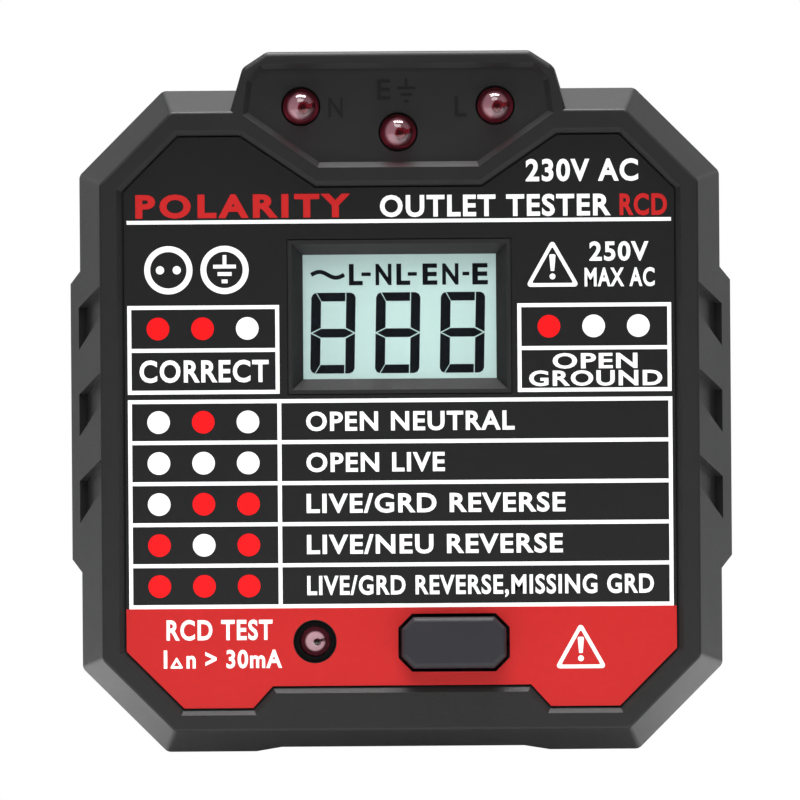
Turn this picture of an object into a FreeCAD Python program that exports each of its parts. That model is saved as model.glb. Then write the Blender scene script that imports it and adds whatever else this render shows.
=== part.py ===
import FreeCAD, Part
import math
import os
import re
import Sketcher

# Outlet tester plug: an octagonal case with a tab of three lamps, a display, a printed label and
# a test button, on a round earthed plug.
#
# Frame: the origin is the centre of the plug's pin face, +Y goes into the wall, +Z is up and +X
# is to the right of a person who faces the display. All lengths are millimetres.
#
# A place along the depth is given as its distance "forward" of the pin face, towards that
# person, so a forward distance F lies at y = -F.

# ---------------------------------------------------------------- driving sizes
SIZES = {
    # case
    "case_width": 65.0,
    "case_top": 33.56,
    "case_bottom": 33.6,
    "case_depth": 30.2,
    "rear_depth": 14.0,
    "corner_cut": 8.55,
    "corner_round": 0.9,
    "case_wall": 2.0,
    "rear_wall": 2.0,
    "front_panel": 2.0,
    "bevel_width": 2.2,
    "bevel_depth": 7.2,
    "rear_bevel_width": 2.0,
    "rear_bevel_depth": 5.5,
    "edge_round": 0.3,
    "seam_chamfer": 0.25,
    # finger notch under the case
    "notch_depth": 0.45,
    "notch_half": 12.3,
    "notch_slope": 2.6,
    # tab that holds the three lamps
    "tab_rise": 3.84,
    "tab_top_half": 13.3,
    "tab_shoulder_half": 15.75,
    "tab_shoulder_drop": 1.6,
    "tab_side_half": 16.45,
    "tab_side_drop": 4.0,
    "tab_foot_half": 17.25,
    "tab_foot_drop": 6.8,
    "tab_rear_setback": 5.0,
    "tab_corner_round": 1.0,
    "tab_edge_round": 0.5,
    "tab_bed_depth": 0.6,
    "tab_bed_slope": 0.55,
    "tab_bed_top_half": 13.65,
    "tab_bed_top_drop": 1.75,
    "tab_bed_shoulder_half": 14.8,
    "tab_bed_shoulder_drop": 3.1,
    "tab_bed_side_half": 15.2,
    "tab_bed_side_drop": 6.1,
    "tab_bed_foot_half": 8.0,
    "tab_bed_foot_drop": 11.2,
    # side grips, each with three slanted recesses
    "grip_rise": 1.05,
    "grip_half": 15.3,
    "grip_crest_half": 14.0,
    "grip_cut_depth": 0.8,
    "grip_cut_start": 0.25,
    "grip_cut_length": 7.9,
    "grip_cut_outer_height": 4.3,
    "grip_cut_inner_height": 3.2,
    "grip_cut_slant": 2.8,
    "grip_cut_pitch": 8.8,
    "grip_cut_middle": 2.05,
    # label and the bed it lies in
    "bed_depth": 0.8,
    "bed_slope": 0.72,
    "label_thickness": 0.3,
    "label_side_margin": 4.6,
    "label_top_margin": 4.76,
    "label_bottom_margin": 4.5,
    "label_top_corner": 5.55,
    "label_bottom_corner": 5.8,
    "label_notch_half": 8.5,
    "label_notch_shoulder": 16.1,
    "label_notch_depth": 5.2,
    "label_foot_half": 13.1,
    "label_foot_shoulder": 15.1,
    "label_foot_depth": 2.2,
    # display
    "display_height": 10.5,
    "view_width": 19.6,
    "view_height": 12.6,
    "funnel_slope": 1.1,
    "funnel_rim": 0.4,
    "label_hole_gap": 0.1,
    "window_lap": 1.7,
    "window_thickness": 0.8,
    "window_gap": 0.1,
    "glass_lap": 2.2,
    "glass_thickness": 2.1,
    "glass_gap": 0.2,
    "backlight_thickness": 2.5,
    "holder_wall": 1.4,
    "holder_gap": 0.1,
    "holder_floor": 1.5,
    "strip_thickness": 1.8,
    "strip_setback": 1.0,
    # lamps
    "side_lamp_half": 9.85,
    "side_lamp_drop": 1.71,
    "middle_lamp_drop": 4.36,
    "test_lamp_x": -8.8,
    "test_lamp_z": -22.4,
    "lamp_radius": 1.5,
    "lamp_barrel": 1.1,
    "lamp_tip_flat": 0.05,
    "lamp_flange_radius": 1.9,
    "lamp_flange": 1.0,
    "lamp_hole_gap": 0.1,
    "lamp_inset": 0.3,
    "lead_width": 0.5,
    "lead_pitch": 2.54,
    "test_lamp_inset": 1.0,
    "shroud_wall": 0.45,
    "shroud_gap": 0.08,
    "shroud_inset": 0.2,
    # test button, its spring and its switch
    "button_x": 5.3,
    "button_z": -22.6,
    "button_width": 10.6,
    "button_height": 5.2,
    "button_cut": 1.2,
    "button_corner": 0.35,
    "button_edge": 0.6,
    "button_gap": 0.35,
    "button_stand": 1.9,
    "button_lap": 1.0,
    "button_flange": 1.0,
    "button_flange_gap": 0.2,
    "button_travel": 1.5,
    "switch_width": 8.5,
    "switch_height": 4.0,
    "plunger_radius": 1.5,
    "plunger_gap": 0.15,
    "plunger_depth": 1.0,
    "spring_radius": 2.3,
    "spring_wire": 0.2,
    "spring_turns": 3.5,
    # board and what it carries
    "board_gap": 8.4,
    "board_thickness": 1.6,
    "board_side_margin": 9.5,
    "board_top_margin": 5.56,
    "board_bottom_margin": 5.6,
    "tongue_half": 12.9,
    "tongue_rise": 6.2,
    "chip_width": 9.0,
    "chip_height": 1.6,
    "chip_x": -10.5,
    "chip_z": -9.0,
    # fastenings
    "boss_radius": 2.75,
    "boss_side_margin": 6.0,
    "boss_height": 19.0,
    "screw_radius": 1.3,
    "screw_gap": 0.3,
    "screw_head_radius": 2.4,
    "screw_head_height": 1.6,
    "screw_head_depth": 3.0,
    "screw_seat": 2.0,
    "screw_bite": 7.0,
    "thread_gap": 0.03,
    "pilot_room": 1.0,
    "driver_width": 2.4,
    "driver_slot": 0.6,
    "driver_depth": 0.9,
    "post_radius": 1.5,
    "post_side_margin": 4.0,
    "post_height": 22.5,
    "pillar_radius": 2.5,
    "pillar_x": 18.0,
    "pillar_z": 10.0,
    "board_screw_radius": 1.1,
    "board_screw_head": 2.2,
    "board_screw_bite": 6.0,
    # plug
    "plug_depth": 17.0,
    "insert_radius": 18.5,
    "insert_gap": 0.15,
    "insert_hollow": 14.0,
    "insert_face": 4.0,
    "insert_flange": 2.0,
    "flange_rim": 0.1,
    "insert_edge": 0.8,
    "guide_width": 5.2,
    "guide_floor": 15.9,
    "guide_setback": 1.5,
    "pin_pitch": 19.0,
    "pin_radius": 2.4,
    "pin_neck_radius": 2.2,
    "pin_reach": 19.0,
    "pin_tip_round": 1.6,
    "pin_gap": 0.03,
    "pin_mouth_gap": 0.15,
    "pin_mouth_depth": 0.6,
    "pin_shoulder_radius": 3.4,
    "pin_shoulder": 2.0,
    "pin_tail_radius": 1.5,
    "pin_tail": 6.0,
    "clip_face": 16.5,
    "clip_thickness": 0.8,
    "clip_width": 6.0,
    "clip_gap": 0.1,
    "clip_slot_width": 9.0,
    "clip_setback": 1.0,
    "clip_slot_room": 0.2,
    "clip_foot": 2.3,
    "earth_hole_height": 10.0,
    "earth_bore_radius": 2.45,
    "earth_bore_depth": 14.0,
    "earth_mouth_gap": 0.15,
    "earth_lip": 1.0,
    "earth_boss_end": 0.5,
    "sleeve_wall": 0.75,
    "sleeve_gap": 0.03,
    "sleeve_boss_wall": 1.1,
    "bridge_thickness": 0.8,
    # wires
    "wire_radius": 1.0,
    "earth_wire_drop": 12.0,
    # parts on the back of the board
    "dropper_width": 13.0,
    "dropper_height": 6.0,
    "dropper_depth": 9.0,
    "dropper_z": -22.0,
    "can_radius": 3.1,
    "can_length": 9.5,
    "can_x": 18.5,
    "disc_radius": 4.0,
    "disc_thickness": 3.5,
    "disc_x": -18.5,
    "fuse_radius": 1.8,
    "fuse_length": 12.0,
    "fuse_z": 24.0,
    "rectifier_width": 6.4,
    "rectifier_height": 8.0,
    "rectifier_depth": 3.2,
    "rectifier_x": -12.0,
    "rectifier_z": -22.0,
    "resistor_radius": 1.7,
    "resistor_length": 9.0,
    "resistor_x": 12.2,
    "resistor_z": -21.75,
    "resistor_pitch": 4.5,
    # how far a cut goes on past the face that it opens
    "cut_through": 0.5,
}

# ---------------------------------------------------------------- places worked out from them
OCTAGON_RATIO = str(round(math.tan(math.radians(22.5)), 6))

PLACES = {
    "case_half": "case_width / 2",
    "tab_top": "case_top + tab_rise",
    # stations along the depth, forward of the pin face
    "rear_face": "plug_depth",
    "rear_inside": "rear_face + rear_wall",
    "rear_bevel_start": "rear_face + rear_bevel_depth",
    "parting": "rear_face + rear_depth",
    "front_face": "rear_face + case_depth",
    "bevel_start": "front_face - bevel_depth",
    "bed": "front_face - bed_depth",
    "label_front": "bed + label_thickness",
    "panel_inside": "bed - front_panel",
    "tab_bed": "front_face - tab_bed_depth",
    "board_front": "panel_inside - board_gap",
    "board_back": "board_front - board_thickness",
    "window_front": "panel_inside + window_thickness",
    "glass_front": "panel_inside - glass_gap",
    "glass_back": "glass_front - glass_thickness",
    "backlight_back": "glass_back - backlight_thickness",
    "holder_floor_back": "backlight_back - holder_floor",
    "button_flange_front": "panel_inside - button_flange_gap",
    "button_flange_back": "button_flange_front - button_flange",
    "button_front": "label_front + button_stand",
    "button_hole_cut": "button_cut + button_gap * (1 - " + OCTAGON_RATIO + ")",
    "switch_front": "board_front + switch_height",
    "lamp_back": "tab_bed - lamp_inset - lamp_flange",
    "test_lamp_back": "bed - test_lamp_inset - 2 * lamp_radius - lamp_barrel",
    "shroud_front": "bed - shroud_inset",
    "flange_front": "rear_inside + insert_flange",
    "clip_foot_front": "flange_front + clip_thickness",
    "bridge_front": "clip_foot_front + bridge_thickness",
    "earth_bore_end": "earth_lip + earth_bore_depth",
    "pin_tail_end": "insert_face + pin_shoulder + pin_tail",
    "case_screw_seat": "rear_face + screw_head_depth",
    # sizes across
    "funnel_depth": "label_front - window_front",
    "rim_width": "view_width + 2 * funnel_slope + 2 * funnel_rim",
    "rim_height": "view_height + 2 * funnel_slope + 2 * funnel_rim",
    "window_width": "view_width + 2 * window_lap",
    "window_height": "view_height + 2 * window_lap",
    "glass_width": "view_width + 2 * glass_lap",
    "glass_height": "view_height + 2 * glass_lap",
    "holder_width": "glass_width + 2 * holder_gap + 2 * holder_wall",
    "holder_height": "glass_height + 2 * holder_gap + 2 * holder_wall",
    "holder_bottom": "display_height - glass_height / 2",
    "side_lamp_height": "case_top - side_lamp_drop",
    "middle_lamp_height": "case_top - middle_lamp_drop",
    "shroud_bore": "lamp_radius + shroud_gap",
    "shroud_radius": "shroud_bore + shroud_wall",
    "boss_x": "case_half - boss_side_margin",
    "board_half": "case_half - board_side_margin",
    "board_top": "case_top - board_top_margin",
    "board_bottom": "case_bottom - board_bottom_margin",
    "post_x": "board_half - post_side_margin",
    "flange_radius": "sqrt(pillar_x ^ 2 + pillar_z ^ 2) + pillar_radius + flange_rim",
    "sleeve_radius": "earth_bore_radius + sleeve_wall",
    "sleeve_boss_radius": "sleeve_radius + sleeve_gap + sleeve_boss_wall",
    "pin_x": "pin_pitch / 2",
    "clip_back": "clip_face - clip_thickness",
}


def formula(text):
    """Turn a sum of named sizes into an expression on the sheet."""
    def replace(match):
        word = match.group(0)
        if word in PLACES:
            return "(" + formula(PLACES[word]) + ")"
        if word in SIZES:
            return "Sizes." + word
        return word
    return re.sub(r"[a-z_]+", replace, str(text))


# ---------------------------------------------------------------- document and sheet
document = FreeCAD.newDocument("OutletTesterPlug")
sheet = document.addObject("Spreadsheet::Sheet", "Sizes")
for row, (alias, value) in enumerate(SIZES.items(), start=1):
    sheet.set(f"A{row}", alias)
    sheet.set(f"B{row}", str(value))
    sheet.setAlias(f"B{row}", alias)
document.recompute()

nodes = []


def add_node(thing, label):
    """Give a finished sub-part its label and list it for writing."""
    thing.Label = label
    nodes.append(thing)
    return thing


# ---------------------------------------------------------------- sketch helpers
def new_body(label):
    return add_node(document.addObject("PartDesign::Body", label), label)


def new_sketch(body, name, forward="0", plane="XZ_Plane"):
    """A sketch on one of the body's origin planes. On XZ it looks backwards from the front."""
    sketch = body.newObject("Sketcher::SketchObject", f"{body.Label}_{name}")
    planes = {feature.Role: feature for feature in body.Origin.OriginFeatures}
    sketch.AttachmentSupport = (planes[plane], [""])
    sketch.MapMode = "FlatFace"
    sketch.setExpression("AttachmentOffset.Base.z", formula(forward))
    return sketch


def pin_point(sketch, geometry, point, across, up):
    """Hold one point of a sketch at its distances from the sketch's origin."""
    for kind, distance in (("DistanceX", across), ("DistanceY", up)):
        index = sketch.addConstraint(Sketcher.Constraint(kind, -1, 1, geometry, point, 1.0))
        sketch.setExpression(f"Constraints[{index}]", formula(distance))


def draw_polygon(sketch, corners):
    """A closed loop of straight lines through corners given as pairs of formulas."""
    first = sketch.GeometryCount
    count = len(corners)
    turn = 2 * math.pi / count
    ring = [FreeCAD.Vector(math.cos(turn * k), math.sin(turn * k), 0) for k in range(count)]
    for k in range(count):
        sketch.addGeometry(Part.LineSegment(ring[k], ring[(k + 1) % count]), False)
    for k in range(count):
        following = first + (k + 1) % count
        sketch.addConstraint(Sketcher.Constraint("Coincident", first + k, 2, following, 1))
    for k, (across, up) in enumerate(corners):
        pin_point(sketch, first + k, 1, across, up)
    return sketch


def draw_rectangle(sketch, centre_x, centre_z, width, height):
    left = f"({centre_x}) - ({width}) / 2"
    right = f"({centre_x}) + ({width}) / 2"
    low = f"({centre_z}) - ({height}) / 2"
    high = f"({centre_z}) + ({height}) / 2"
    return draw_polygon(sketch, [(left, low), (right, low), (right, high), (left, high)])


def draw_cut_rectangle(sketch, centre_x, centre_z, width, height, cut):
    """A rectangle whose corners are cut off at 45 degrees."""
    right, top = f"({width}) / 2", f"({height}) / 2"
    inner_right, inner_top = f"({right} - ({cut}))", f"({top} - ({cut}))"
    quarter = [(inner_right, top), (right, inner_top)]
    signs = [(1, 1), (1, -1), (-1, -1), (-1, 1)]
    corners = []
    for x_sign, z_sign in signs:
        turn = quarter if x_sign * z_sign > 0 else quarter[::-1]
        corners += [(f"({centre_x}) + {x_sign} * {x}", f"({centre_z}) + {z_sign} * {z}")
                    for x, z in turn]
    return draw_polygon(sketch, corners)


def draw_circle(sketch, centre_x, centre_z, radius):
    circle = Part.Circle(FreeCAD.Vector(0, 0, 0), FreeCAD.Vector(0, 0, 1), 1.0)
    geometry = sketch.addGeometry(circle, False)
    pin_point(sketch, geometry, 3, centre_x, centre_z)
    index = sketch.addConstraint(Sketcher.Constraint("Radius", geometry, 1.0))
    sketch.setExpression(f"Constraints[{index}]", formula(radius))
    return sketch


def mirrored_corners(right_side):
    """Corners down the right side and back up the left, for a shape that is even in X."""
    left_side = [(f"-({across})", up) for across, up in reversed(right_side)]
    return right_side + left_side


def four_places(across, up):
    """The four places at plus and minus two distances."""
    return [(f"{i}({across})", f"{k}({up})") for i in ("", "-") for k in ("", "-")]


# ---------------------------------------------------------------- feature helpers
def pad(body, sketch, length, slope=None, backwards=False, both_ways=False):
    """Raise a sketch, forwards unless told otherwise; slope is an angle formula."""
    feature = body.newObject("PartDesign::Pad", sketch.Name + "_pad")
    feature.Profile = sketch
    feature.setExpression("Length", formula(length))
    feature.Reversed = backwards
    feature.SideType = "Symmetric" if both_ways else "One side"
    if slope:
        feature.setExpression("TaperAngle", formula(slope))
    sketch.Visibility = False
    return feature


def pocket(body, sketch, depth, slope=None, forwards=False, both_ways=False):
    """Cut a sketch into the body, backwards unless told otherwise."""
    feature = body.newObject("PartDesign::Pocket", sketch.Name + "_pocket")
    feature.Profile = sketch
    feature.setExpression("Length", formula(depth))
    feature.Reversed = forwards
    feature.SideType = "Symmetric" if both_ways else "One side"
    if slope:
        feature.setExpression("TaperAngle", formula(slope))
    sketch.Visibility = False
    return feature


def revolve(body, sketch):
    """Turn a half profile, drawn right of the sketch's upright axis, into a round solid."""
    feature = body.newObject("PartDesign::Revolution", sketch.Name + "_revolution")
    feature.Profile = sketch
    feature.ReferenceAxis = (sketch, ["V_Axis"])
    feature.Angle = 360
    return feature


def round_edges(body, wanted, radius):
    """Round the edges of the body's last feature that wanted(edge) picks."""
    document.recompute()
    base = body.Tip
    names = [f"Edge{k}" for k, edge in enumerate(base.Shape.Edges, start=1) if wanted(edge)]
    if not names:
        raise RuntimeError(f"no edge to round on {body.Label}")
    feature = body.newObject("PartDesign::Fillet", body.Label + "_round")
    feature.Base = (base, names)
    feature.setExpression("Radius", formula(radius))
    return feature


def break_seam_edge(body):
    """A small chamfer round the parting plane, so that the closed case shows a neat groove."""
    document.recompute()
    base = body.Tip
    seam = -(SIZES["plug_depth"] + SIZES["rear_depth"])
    names = [f"Edge{k}" for k, edge in enumerate(base.Shape.Edges, start=1) if at_depth(edge, seam)]
    feature = body.newObject("PartDesign::Chamfer", body.Label + "_seam")
    feature.Base = (base, names)
    feature.setExpression("Size", formula("seam_chamfer"))


def along_depth(edge):
    """True for an edge that runs along Y, or nearly so, as a bevel's corner does."""
    first, last = edge.Vertexes[0].Point, edge.Vertexes[-1].Point
    run = last - first
    return run.Length > 1e-6 and abs(run.y) > 0.9 * run.Length


def above(edge, z):
    """True for an edge whose middle is higher than z."""
    return edge.CenterOfMass.z > z


def lowest_y(body):
    """The y of the body's foremost point."""
    document.recompute()
    return min(vertex.Point.y for vertex in body.Tip.Shape.Vertexes)


def at_depth(edge, y):
    """True for an edge that lies wholly at one y."""
    heights = [vertex.Point.y for vertex in edge.Vertexes] + [edge.CenterOfMass.y]
    return all(abs(height - y) < 1e-4 for height in heights)


# ---------------------------------------------------------------- primitive helpers
FORWARDS = FreeCAD.Rotation(FreeCAD.Vector(1, 0, 0), 90)


def place(thing, x, forward, z):
    thing.setExpression("Placement.Base.x", formula(x))
    thing.setExpression("Placement.Base.y", formula(f"-({forward})"))
    thing.setExpression("Placement.Base.z", formula(z))
    return thing


def block(name, x, z, width, height, back, depth):
    """A box centred on x and z, from the forward distance back and depth long."""
    box = document.addObject("Part::Box", name)
    box.setExpression("Length", formula(width))
    box.setExpression("Width", formula(depth))
    box.setExpression("Height", formula(height))
    place(box, f"({x}) - ({width}) / 2", f"({back}) + ({depth})", f"({z}) - ({height}) / 2")
    return box


def rod(name, x, z, radius, back, length):
    """A cylinder along the depth, from the forward distance back."""
    cylinder = document.addObject("Part::Cylinder", name)
    cylinder.setExpression("Radius", formula(radius))
    cylinder.setExpression("Height", formula(length))
    cylinder.Placement = FreeCAD.Placement(FreeCAD.Vector(), FORWARDS)
    place(cylinder, x, back, z)
    return cylinder


def lying_rod(name, x, z, radius, forward, length):
    """A cylinder along X, centred on x."""
    cylinder = document.addObject("Part::Cylinder", name)
    cylinder.setExpression("Radius", formula(radius))
    cylinder.setExpression("Height", formula(length))
    sideways = FreeCAD.Rotation(FreeCAD.Vector(0, 1, 0), 90)
    cylinder.Placement = FreeCAD.Placement(FreeCAD.Vector(), sideways)
    place(cylinder, f"({x}) - ({length}) / 2", forward, z)
    return cylinder


def grouped(name, shapes):
    group = document.addObject("Part::Compound", name)
    group.Links = shapes
    return group


# ---------------------------------------------------------------- outlines that pieces share
def octagon(inset):
    """The case's outline, every side moved inwards by inset."""
    side = f"case_half - ({inset})"
    top = f"case_top - ({inset})"
    bottom = f"-(case_bottom - ({inset}))"
    corner_x = f"case_half - corner_cut - ({inset}) * {OCTAGON_RATIO}"
    corner_top = f"case_top - corner_cut - ({inset}) * {OCTAGON_RATIO}"
    corner_bottom = f"-(case_bottom - corner_cut - ({inset}) * {OCTAGON_RATIO})"
    return mirrored_corners([
        (corner_x, top), (side, corner_top), (side, corner_bottom), (corner_x, bottom)])


def tab_outline(inset):
    """The tab's outline, its foot well inside the octagon."""
    foot = "case_top - case_wall - label_top_margin"
    return mirrored_corners([
        (f"tab_top_half - ({inset}) * {OCTAGON_RATIO}", f"tab_top - ({inset})"),
        (f"tab_shoulder_half - ({inset})", f"tab_top - tab_shoulder_drop - ({inset}) / 2"),
        (f"tab_side_half - ({inset})", "tab_top - tab_side_drop"),
        (f"tab_foot_half - ({inset})", "tab_top - tab_foot_drop"),
        (f"tab_foot_half - ({inset})", foot)])


def label_outline():
    """The printed label's outline: cut corners, a notch under the tab and one at the foot."""
    side = "case_half - label_side_margin"
    top = "case_top - label_top_margin"
    bottom = "-(case_bottom - label_bottom_margin)"
    return mirrored_corners([
        ("label_notch_half", f"{top} - label_notch_depth"),
        ("label_notch_shoulder", top),
        (f"{side} - label_top_corner", top),
        (side, f"{top} - label_top_corner"),
        (side, f"{bottom} + label_bottom_corner"),
        (f"{side} - label_bottom_corner", bottom),
        ("label_foot_shoulder", bottom),
        ("label_foot_half", f"{bottom} + label_foot_depth")])


def tab_bed_outline():
    return mirrored_corners([
        ("tab_bed_top_half", "tab_top - tab_bed_top_drop"),
        ("tab_bed_shoulder_half", "tab_top - tab_bed_shoulder_drop"),
        ("tab_bed_side_half", "tab_top - tab_bed_side_drop"),
        ("tab_bed_foot_half", "tab_top - tab_bed_foot_drop")])


def draw_button_hole(sketch):
    """The button's outline with its gap all round."""
    draw_cut_rectangle(sketch, "button_x", "button_z", "button_width + 2 * button_gap",
                       "button_height + 2 * button_gap", "button_hole_cut")


def join_tab(body, start, length, front_round=None):
    """Shape the tab as a block with rounded corners, and join it to the case."""
    tab = document.addObject("PartDesign::Body", body.Label + "_tab")
    pad(tab, draw_polygon(new_sketch(tab, "outline", start), tab_outline("0")), length)
    round_edges(tab, along_depth, "tab_corner_round")
    if front_round:
        front = lowest_y(tab)
        round_edges(tab, lambda edge: at_depth(edge, front), front_round)
    join = body.newObject("PartDesign::Boolean", body.Label + "_join_tab")
    join.Type = "Fuse"
    join.setObjects([tab])


def side_grips(body, start, length):
    """The raised grip on each side, as wide trapezoids along the depth."""
    sketch = new_sketch(body, "grips", start)
    for side in ("", "-"):
        draw_polygon(sketch, [
            (f"{side}(case_half - case_wall / 2)", "-grip_half"),
            (f"{side}case_half", "-grip_half"),
            (f"{side}(case_half + grip_rise)", "-grip_crest_half"),
            (f"{side}(case_half + grip_rise)", "grip_crest_half"),
            (f"{side}case_half", "grip_half"),
            (f"{side}(case_half - case_wall / 2)", "grip_half")])
    pad(body, sketch, length)


def slope_cut(body, name, face, width, depth, direction):
    """Trim both grips to the plane of the case's bevel, which reaches past the case's side."""
    sketch = new_sketch(body, name, "0", "XY_Plane")
    outer = "case_half + 2 * grip_rise"
    reach = f"({depth}) * (2 * grip_rise + ({width})) / ({width})"
    for side in ("", "-"):
        draw_polygon(sketch, [
            (f"{side}(case_half - ({width}))", f"-({face})"),
            (f"{side}({outer})", f"-({face})"),
            (f"{side}({outer})", f"-(({face}) + ({direction}) * ({reach}))")])
    pocket(body, sketch, "2 * (grip_half + cut_through)", both_ways=True)


# ---------------------------------------------------------------- front cover
def make_front_cover():
    body = new_body("front_cover")
    outline = draw_polygon(new_sketch(body, "outline", "parting"), octagon("0"))
    pad(body, outline, "bevel_start - parting")
    bevel = draw_polygon(new_sketch(body, "bevel", "bevel_start"), octagon("0"))
    pad(body, bevel, "bevel_depth", slope="-atan(bevel_width / bevel_depth)")
    round_edges(body, along_depth, "corner_round")
    front = lowest_y(body)
    round_edges(body, lambda edge: at_depth(edge, front), "edge_round")
    join_tab(body, "parting", "front_face - parting", "tab_edge_round")
    side_grips(body, "parting", "front_face - parting")
    slope_cut(body, "grip_slope", "front_face", "bevel_width", "bevel_depth", "-1")
    cut_grip_recesses(body)
    cut_finger_notch(body, "parting", "front_face - parting")
    break_seam_edge(body)

    # hollow from the parting plane, stepped so that the bevelled wall keeps its thickness
    hollow = draw_polygon(new_sketch(body, "hollow", "parting"), octagon("case_wall"))
    pocket(body, hollow, "bevel_start - parting", forwards=True)
    inset = "case_wall + bevel_width * (panel_inside - bevel_start) / bevel_depth"
    hollow_front = draw_polygon(new_sketch(body, "hollow_front", "bevel_start"), octagon(inset))
    pocket(body, hollow_front, "panel_inside - bevel_start", forwards=True)
    hollow_tab = draw_polygon(new_sketch(body, "hollow_tab", "parting"), tab_outline("case_wall"))
    pocket(body, hollow_tab, "panel_inside - parting", forwards=True)

    # bosses for the case screws, and posts that press on the board
    bosses = new_sketch(body, "bosses", "parting")
    for x, z in four_places("boss_x", "boss_height"):
        draw_circle(bosses, x, z, "boss_radius")
    pad(body, bosses, "panel_inside - parting + front_panel / 2")
    pilots = new_sketch(body, "pilots", "parting")
    for x, z in four_places("boss_x", "boss_height"):
        draw_circle(pilots, x, z, "screw_radius + thread_gap")
    pocket(body, pilots, "screw_bite + pilot_room", forwards=True)
    posts = new_sketch(body, "posts", "board_front")
    for x, z in four_places("post_x", "post_height"):
        draw_circle(posts, x, z, "post_radius")
    pad(body, posts, "board_gap + front_panel / 2")

    # sunk beds for the label and inside the tab, both with sloping walls
    label_bed = draw_polygon(new_sketch(body, "label_bed", "bed"), label_outline())
    pocket(body, label_bed, "bed_depth", slope="atan(bed_slope / bed_depth)", forwards=True)
    tab_bed = draw_polygon(new_sketch(body, "tab_bed", "tab_bed"), tab_bed_outline())
    pocket(body, tab_bed, "tab_bed_depth", slope="atan(tab_bed_slope / tab_bed_depth)", forwards=True)

    # raised rim and funnel round the display, and the seat of its window
    rim = new_sketch(body, "rim", "bed")
    draw_rectangle(rim, "0", "display_height", "rim_width", "rim_height")
    pad(body, rim, "label_thickness")
    funnel = new_sketch(body, "funnel", "window_front")
    draw_rectangle(funnel, "0", "display_height", "view_width", "view_height")
    pocket(body, funnel, "funnel_depth", slope="atan(funnel_slope / funnel_depth)", forwards=True)
    seat = new_sketch(body, "seat", "panel_inside")
    draw_rectangle(seat, "0", "display_height", "window_width + 2 * window_gap",
                   "window_height + 2 * window_gap")
    pocket(body, seat, "window_thickness", forwards=True)

    # holes for the lamps and the button
    holes = new_sketch(body, "holes", "front_face")
    draw_circle(holes, "side_lamp_half", "side_lamp_height", "lamp_flange_radius + lamp_hole_gap")
    draw_circle(holes, "-side_lamp_half", "side_lamp_height", "lamp_flange_radius + lamp_hole_gap")
    draw_circle(holes, "0", "middle_lamp_height", "lamp_flange_radius + lamp_hole_gap")
    draw_circle(holes, "test_lamp_x", "test_lamp_z", "shroud_radius + shroud_gap")
    draw_button_hole(holes)
    pocket(body, holes, "front_face - panel_inside + cut_through")


def cut_grip_recesses(body):
    """Three slanted recesses in each grip, square to the bevel, the left copied from the right."""
    slope = "-atan(bevel_width / bevel_depth)"
    sketch = new_sketch(body, "grip_cuts", "case_half - bevel_width", "YZ_Plane")
    turn = FreeCAD.Rotation(FreeCAD.Vector(0, 1, 0), 1)
    sketch.AttachmentOffset = FreeCAD.Placement(FreeCAD.Vector(), turn)
    sketch.setExpression("AttachmentOffset.Rotation.Angle", formula(slope))
    sketch.setExpression("AttachmentOffset.Base.x", formula("-front_face"))
    near = "grip_cut_start"
    far = "grip_cut_start + grip_cut_length"
    for step in (-1, 0, 1):
        middle = f"grip_cut_middle + {step} * grip_cut_pitch"
        inner = f"{middle} + grip_cut_slant / 2"
        outer = f"{middle} - grip_cut_slant / 2"
        draw_polygon(sketch, [
            (near, f"{inner} - grip_cut_inner_height / 2"),
            (far, f"{outer} - grip_cut_outer_height / 2"),
            (far, f"{outer} + grip_cut_outer_height / 2"),
            (near, f"{inner} + grip_cut_inner_height / 2")])
    cut = pocket(body, sketch, "grip_cut_depth")
    mirror = body.newObject("PartDesign::Mirrored", "grip_cuts_mirrored")
    mirror.Originals = [cut]
    planes = {feature.Role: feature for feature in body.Origin.OriginFeatures}
    mirror.MirrorPlane = (planes["YZ_Plane"], [""])
    body.Tip = mirror


def cut_finger_notch(body, start, length):
    """A shallow finger notch along the underside."""
    sketch = new_sketch(body, "finger_notch", start)
    draw_polygon(sketch, mirrored_corners([
        ("notch_half", "-(case_bottom - notch_depth)"),
        ("notch_half + notch_slope", "-case_bottom"),
        ("notch_half + notch_slope", "-(case_bottom + notch_depth)")]))
    pocket(body, sketch, length, forwards=True)


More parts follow.
